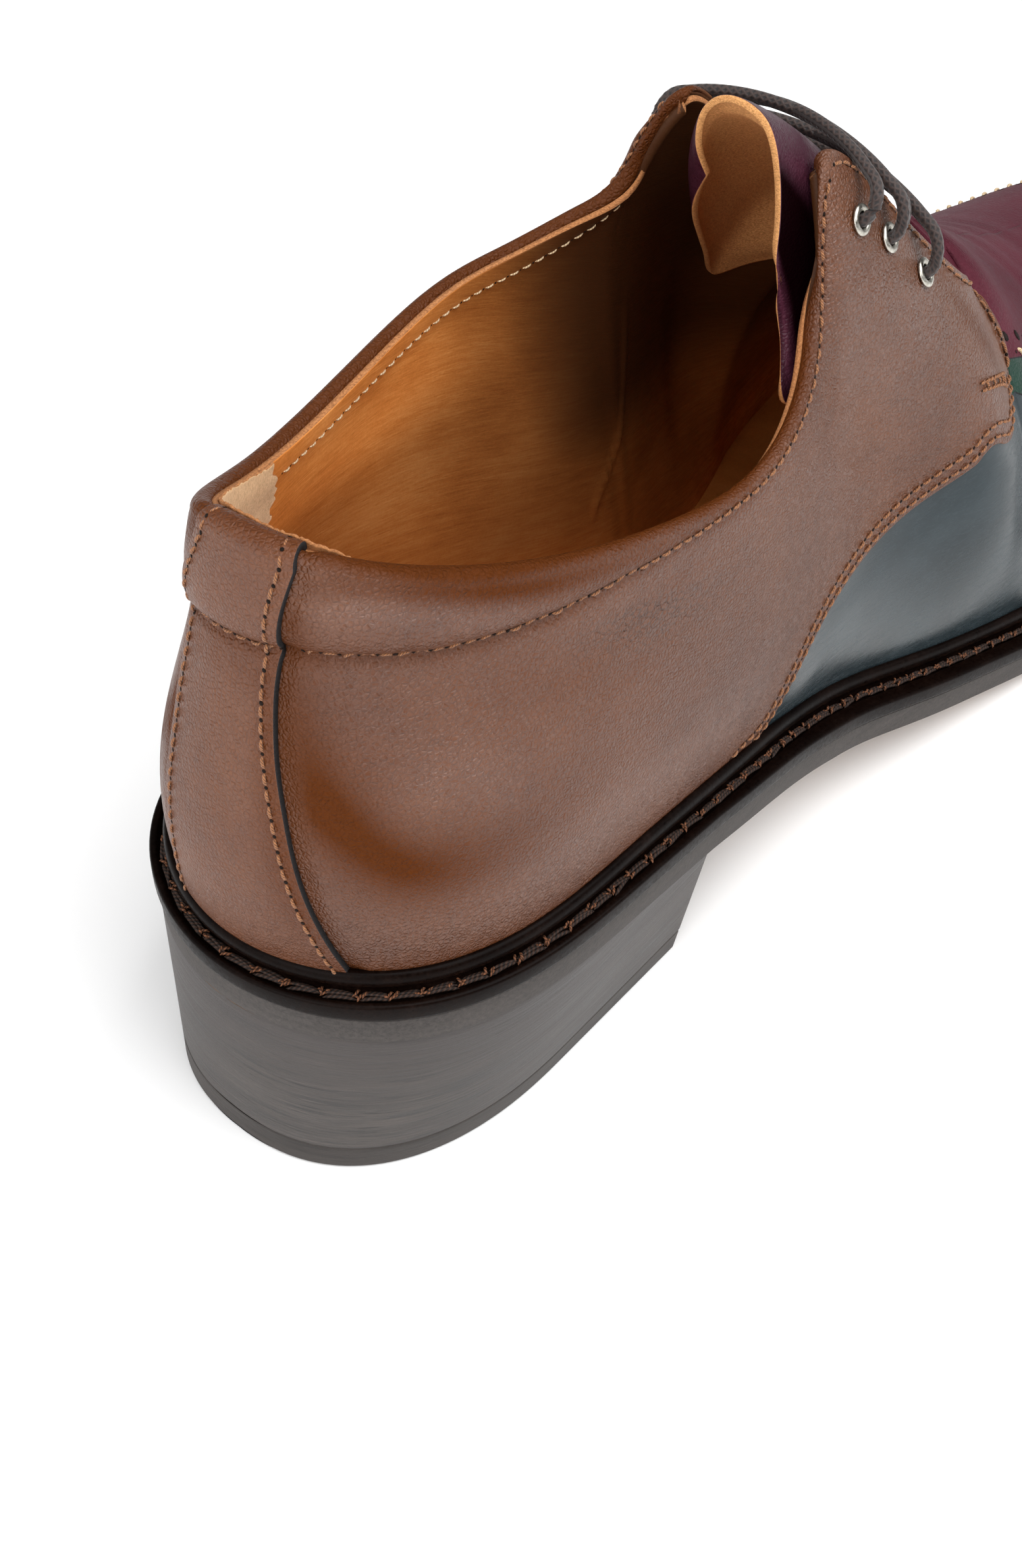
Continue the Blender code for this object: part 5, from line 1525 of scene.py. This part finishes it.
def heel_layer(name, low, high, looks, node, r=0.5, rings_up=14):
    """A layer of the heel, its rim rounded above and below."""
    steps, cells = 64, 24
    shape = (steps, cells + 1)
    flat = np.full(shape, float(low))
    top_z = high(heel_plan(flat, *shape_args(shape))[..., 0])
    loop = [(0, 0)] + [(i, 0) for i in range(1, steps)] + [(steps - 1, j) for j in range(1, cells + 1)] + [(i, cells) for i in range(steps - 2, 0, -1)]
    li, lj = np.array(loop).T

    def at(z):
        return np.concatenate([heel_plan(z, *shape_args(shape)), np.asarray(z)[..., None]], -1)

    under, over = at(flat), at(top_z)
    rings = []
    for k in np.concatenate([[0, 0.02, 0.06], np.linspace(0.12, 0.88, rings_up), [0.94, 0.98, 1.0]]):
        z = flat + (top_z - flat) * k
        ring = at(z)[li, lj]
        edge = min(k, 1 - k) * (top_z - flat)[li, lj]
        back = np.where(edge < r, r - np.sqrt(np.maximum(r * r - (r - edge) ** 2, 0)), 0.0)
        tangent = np.roll(ring, -1, 0) - np.roll(ring, 1, 0)
        away = unit(np.stack([tangent[:, 1], -tangent[:, 0], np.zeros(len(ring))], -1))
        away *= np.sign(((ring[:, :2] - [35, 0]) * away[:, :2]).sum(-1).mean())
        rings.append(ring - away * back[:, None])
    n, m = shape
    under[li, lj], over[li, lj] = rings[0], rings[-1]
    under[0, :], over[0, :] = rings[0][0], rings[-1][0]
    points = np.concatenate([over.reshape(-1, 3), under.reshape(-1, 3), *rings[1:-1]])
    count = len(loop)
    ids = [n * m + li * m + lj] + [2 * n * m + q * count + np.arange(count) for q in range(len(rings) - 2)] + [li * m + lj]
    faces = [quads(n, m), quads(n, m, n * m)[:, ::-1]]
    which = [np.full(len(f), 1) for f in faces]
    for a, b in zip(ids, ids[1:]):
        f = np.stack([a, np.roll(a, -1), np.roll(b, -1), b], -1)
        faces.append(f)
        which.append(np.zeros(len(f), int))
    obj = piece(name, points, np.concatenate(faces), looks, np.concatenate(which), sharp=50)
    bm = bmesh.new()
    bm.from_mesh(obj.data)
    bmesh.ops.remove_doubles(bm, verts=bm.verts, dist=1e-6)
    bmesh.ops.dissolve_degenerate(bm, edges=bm.edges, dist=1e-7)
    bmesh.ops.recalc_face_normals(bm, faces=bm.faces)
    bm.to_mesh(obj.data)
    bm.free()
    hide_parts(node)
    return obj


def shape_args(shape):
    return shape[0], shape[1] - 1


heel_layer("heel_lift", 0.0, lambda x: np.full(x.shape, LIFT_T), [LIFT, LIFT], "heel_lift", 0.28, 6)
heel_layer("heel_stack", LIFT_T + 0.04, lambda x: outsole_under(x) + 0.02, [STACK, STACK], "heel_stack", 0.08, 22)

# ---------------------------------------------------------------- eyelets and lace
def facing_v(s, side, back):
    fine = np.linspace(1, 0.5, 60)
    return float(np.interp(back, run_length(shell(s, fine, side)), fine))


spots = {}
for number, s in enumerate(EYELETS, 1):
    for side, word in ((-1, "lateral"), (1, "medial")):
        at_v = facing_v(s, side, EYELET_EDGE)
        place, normal = shell(s, at_v, side), outward(np.asarray(s), np.asarray(at_v), side)
        spots[number, side] = place, normal
        a, b = np.meshgrid(np.arange(36) * 2 * math.pi / 36, np.arange(14) * 2 * math.pi / 14, indexing="ij")
        x = unit(np.cross([0.2, 0.9, 0.4], normal))
        y = np.cross(normal, x)
        ring_r = EYELET_R - 0.1 + 0.52 * np.cos(b)
        height = 0.34 * np.sin(b) + 0.42 - 1.4 * np.clip(-np.cos(b) - 0.55, 0, 1) * (np.sin(b) < 0.2)
        p = place + (ring_r * np.cos(a))[..., None] * x + (ring_r * np.sin(a))[..., None] * y + height[..., None] * normal
        obj = piece(f"eyelet_{word}_{number}_ring", p.reshape(-1, 3), quads(36, 14, 0, True, True), [NICKEL])
        fix_normals(obj)
        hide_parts(f"eyelet_{word}_{number}")
        # a dark disc in the eyelet's opening: painted shade
        disc = hole_shape(2 * EYELET_R - 0.7, 1.0)
        sewing.add("holes", disc, place + normal * 0.30, x, normal)


def lace_path(start, end, lift):
    (a, na), (b, nb) = spots[start], spots[end]
    clear = 2 * EYELET_TUBE + 2 * GAP + LACE_D / 2 + LACE_CLEAR
    top_a, top_b = a + na * clear, b + nb * clear
    t = np.linspace(0, 1, 25)[:, None]
    chord = top_a + (top_b - top_a) * t + np.array([0.45, 0.0, 0.89]) * (lift * (4 * t * (1 - t)) ** 0.75)
    down_a = [a - na * 1.2, a + na * 0.9]
    down_b = [b + nb * 0.9, b - nb * 1.2]
    mid = chord[2:-2]
    return catmull(np.concatenate([down_a, mid, down_b]), 64)


def tube(path, radius, ring=14, flat=1.0):
    tangent = unit(np.gradient(path, axis=0))
    up = np.array([0.45, 0.0, 0.89])
    side = unit(np.cross(tangent, up))
    top = np.cross(side, tangent)
    a = np.arange(ring) * 2 * math.pi / ring
    p = path[:, None] + radius * (np.cos(a)[None, :, None] * side[:, None] + flat * np.sin(a)[None, :, None] * top[:, None])
    run = run_length(path)
    lay = np.stack([np.repeat(run[:, None], ring, 1), np.tile(a * radius, (len(path), 1)), np.zeros((len(path), ring))], -1)
    n = len(path)
    faces = quads(n, ring, 0, wrap_m=True).tolist() + [list(range(ring))[::-1], [(n - 1) * ring + j for j in range(ring)]]
    return p.reshape(-1, 3), faces, lay.reshape(-1, 3)


RUNS = (((1, -1), (1, 1), 8.0), ((1, -1), (2, 1), 7.8), ((1, 1), (2, -1), 8.2), ((2, -1), (3, 1), 7.8), ((2, 1), (3, -1), 8.2))


def laces():
    points, faces, lays, start = [], [], [], 0
    for a, b, lift in RUNS:
        p, f, l = tube(lace_path(a, b, lift), LACE_D / 2 * 0.92, flat=0.9)
        points.append(p)
        faces += [[i + start for i in q] for q in f]
        lays.append(l)
        start += len(p)
    obj = piece("lace", np.concatenate(points), faces, [LACE], lay=np.concatenate(lays))
    fix_normals(obj)
    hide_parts("lace")
    return obj


laces()

# ---------------------------------------------------------------- punched holes and the apron's stitches
apron_tree = OutTree(tree_of(np.concatenate([g.reshape(-1, 3) for g in apron_sides]), np.concatenate([quads(*apron_sides[0].shape[:2]), quads(*apron_sides[1].shape[:2], apron_sides[0].shape[0] * apron_sides[0].shape[1])])))


def oval(length, width):
    points, faces = hole_shape(1.0, 0.3)
    return points * [length, width, 1.0], faces


for side in (-1, 1):
    s = np.linspace(11.18, LAST, 900)
    line = shell(s, APRON_LINE(s) + 0.045, side)
    line = resample(line, 0.3)
    ends, normals = on_surface(apron_tree, resample(line, 5.0))
    for k, (p, z) in enumerate(zip(ends, normals)):
        ahead = ends[min(k + 1, len(ends) - 1)] - ends[max(k - 1, 0)]
        # punched holes as dark ovals: painted shade
        sewing.add("punch", oval(2.6, 1.5), p + z * 0.03, unit(ahead), unit(z), 0.5 * side)
    line = shell(s, APRON_LINE(s) + 0.012, side)
    sewing.row("cream_big", resample(line, 0.4), apron_tree, 3.4, 2.3, 0.72, 0.42, 0.5 * side, hole=0.55, start=2.0)

sewing.make("upper_stitches", "thread", [THREAD])
sewing.make("lining_stitches", "cream", [CREAM_THREAD])
sewing.make("apron_stitches", "cream_big", [CREAM_THREAD])
sewing.make("needle_holes", "holes", [HOLE])
sewing.make("punched_holes", "punch", [HOLE])
sewing.make("welt_stitches", "welt", [WELT_THREAD])
sewing.make("welt_knots", "knot", [KNOT_THREAD])
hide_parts("upper")

# ---------------------------------------------------------------- floor and light
def floor():
    mesh = bpy.data.meshes.new("floor")
    size = 3.0
    mesh.from_pydata([(-size, -size, 0), (size, -size, 0), (size, size, 0), (-size, size, 0)], [], [(0, 1, 2, 3)])
    look = Look("pale floor", IOR=1.3)
    cloud = look.noise(look.node("ShaderNodeTexCoord").outputs["Object"], 2.0, 3.0)
    mesh.materials.append(look.finish(look.ramp(cloud, (0.3, (0.90, 0.90, 0.90)), (0.7, (0.93, 0.93, 0.93))), 0.9))
    obj = bpy.data.objects.new("floor", mesh)
    bpy.context.scene.collection.objects.link(obj)
    obj.location.z = -0.0002


floor()


def softbox(name, at, to, size, power, colour=(1, 1, 1)):
    light = bpy.data.lights.new(name, "AREA")
    light.shape, light.size, light.size_y, light.energy, light.color = "RECTANGLE", size[0], size[1], power, colour
    obj = bpy.data.objects.new(name, light)
    bpy.context.scene.collection.objects.link(obj)
    obj.location = placed(at)
    obj.rotation_mode = "QUATERNION"
    obj.rotation_quaternion = Vector(placed(to) - placed(at)).to_track_quat("-Z", "Y")
    return obj


TARGET = (70, -10, 50)
softbox("key", (250, -480, 900), TARGET, (1.2, 1.0), 14.0)
softbox("side", (820, -700, 330), (120, -20, 45), (1.4, 0.9), 0.62)
softbox("back", (-760, -160, 420), TARGET, (0.7, 0.7), 5.2)
softbox("rim", (-520, 560, 170), (20, 0, 40), (0.8, 0.6), 1.9)
softbox("over", (-250, 120, 1300), TARGET, (1.4, 1.4), 7.0)
world = bpy.data.worlds.new("studio")
world.use_nodes = True
world.node_tree.nodes["Background"].inputs["Color"].default_value = (1, 1, 1, 1)
world.node_tree.nodes["Background"].inputs["Strength"].default_value = 0.22
bpy.context.scene.world = world
bpy.context.scene.view_settings.view_transform = "Standard"

bpy.context.view_layer.update()
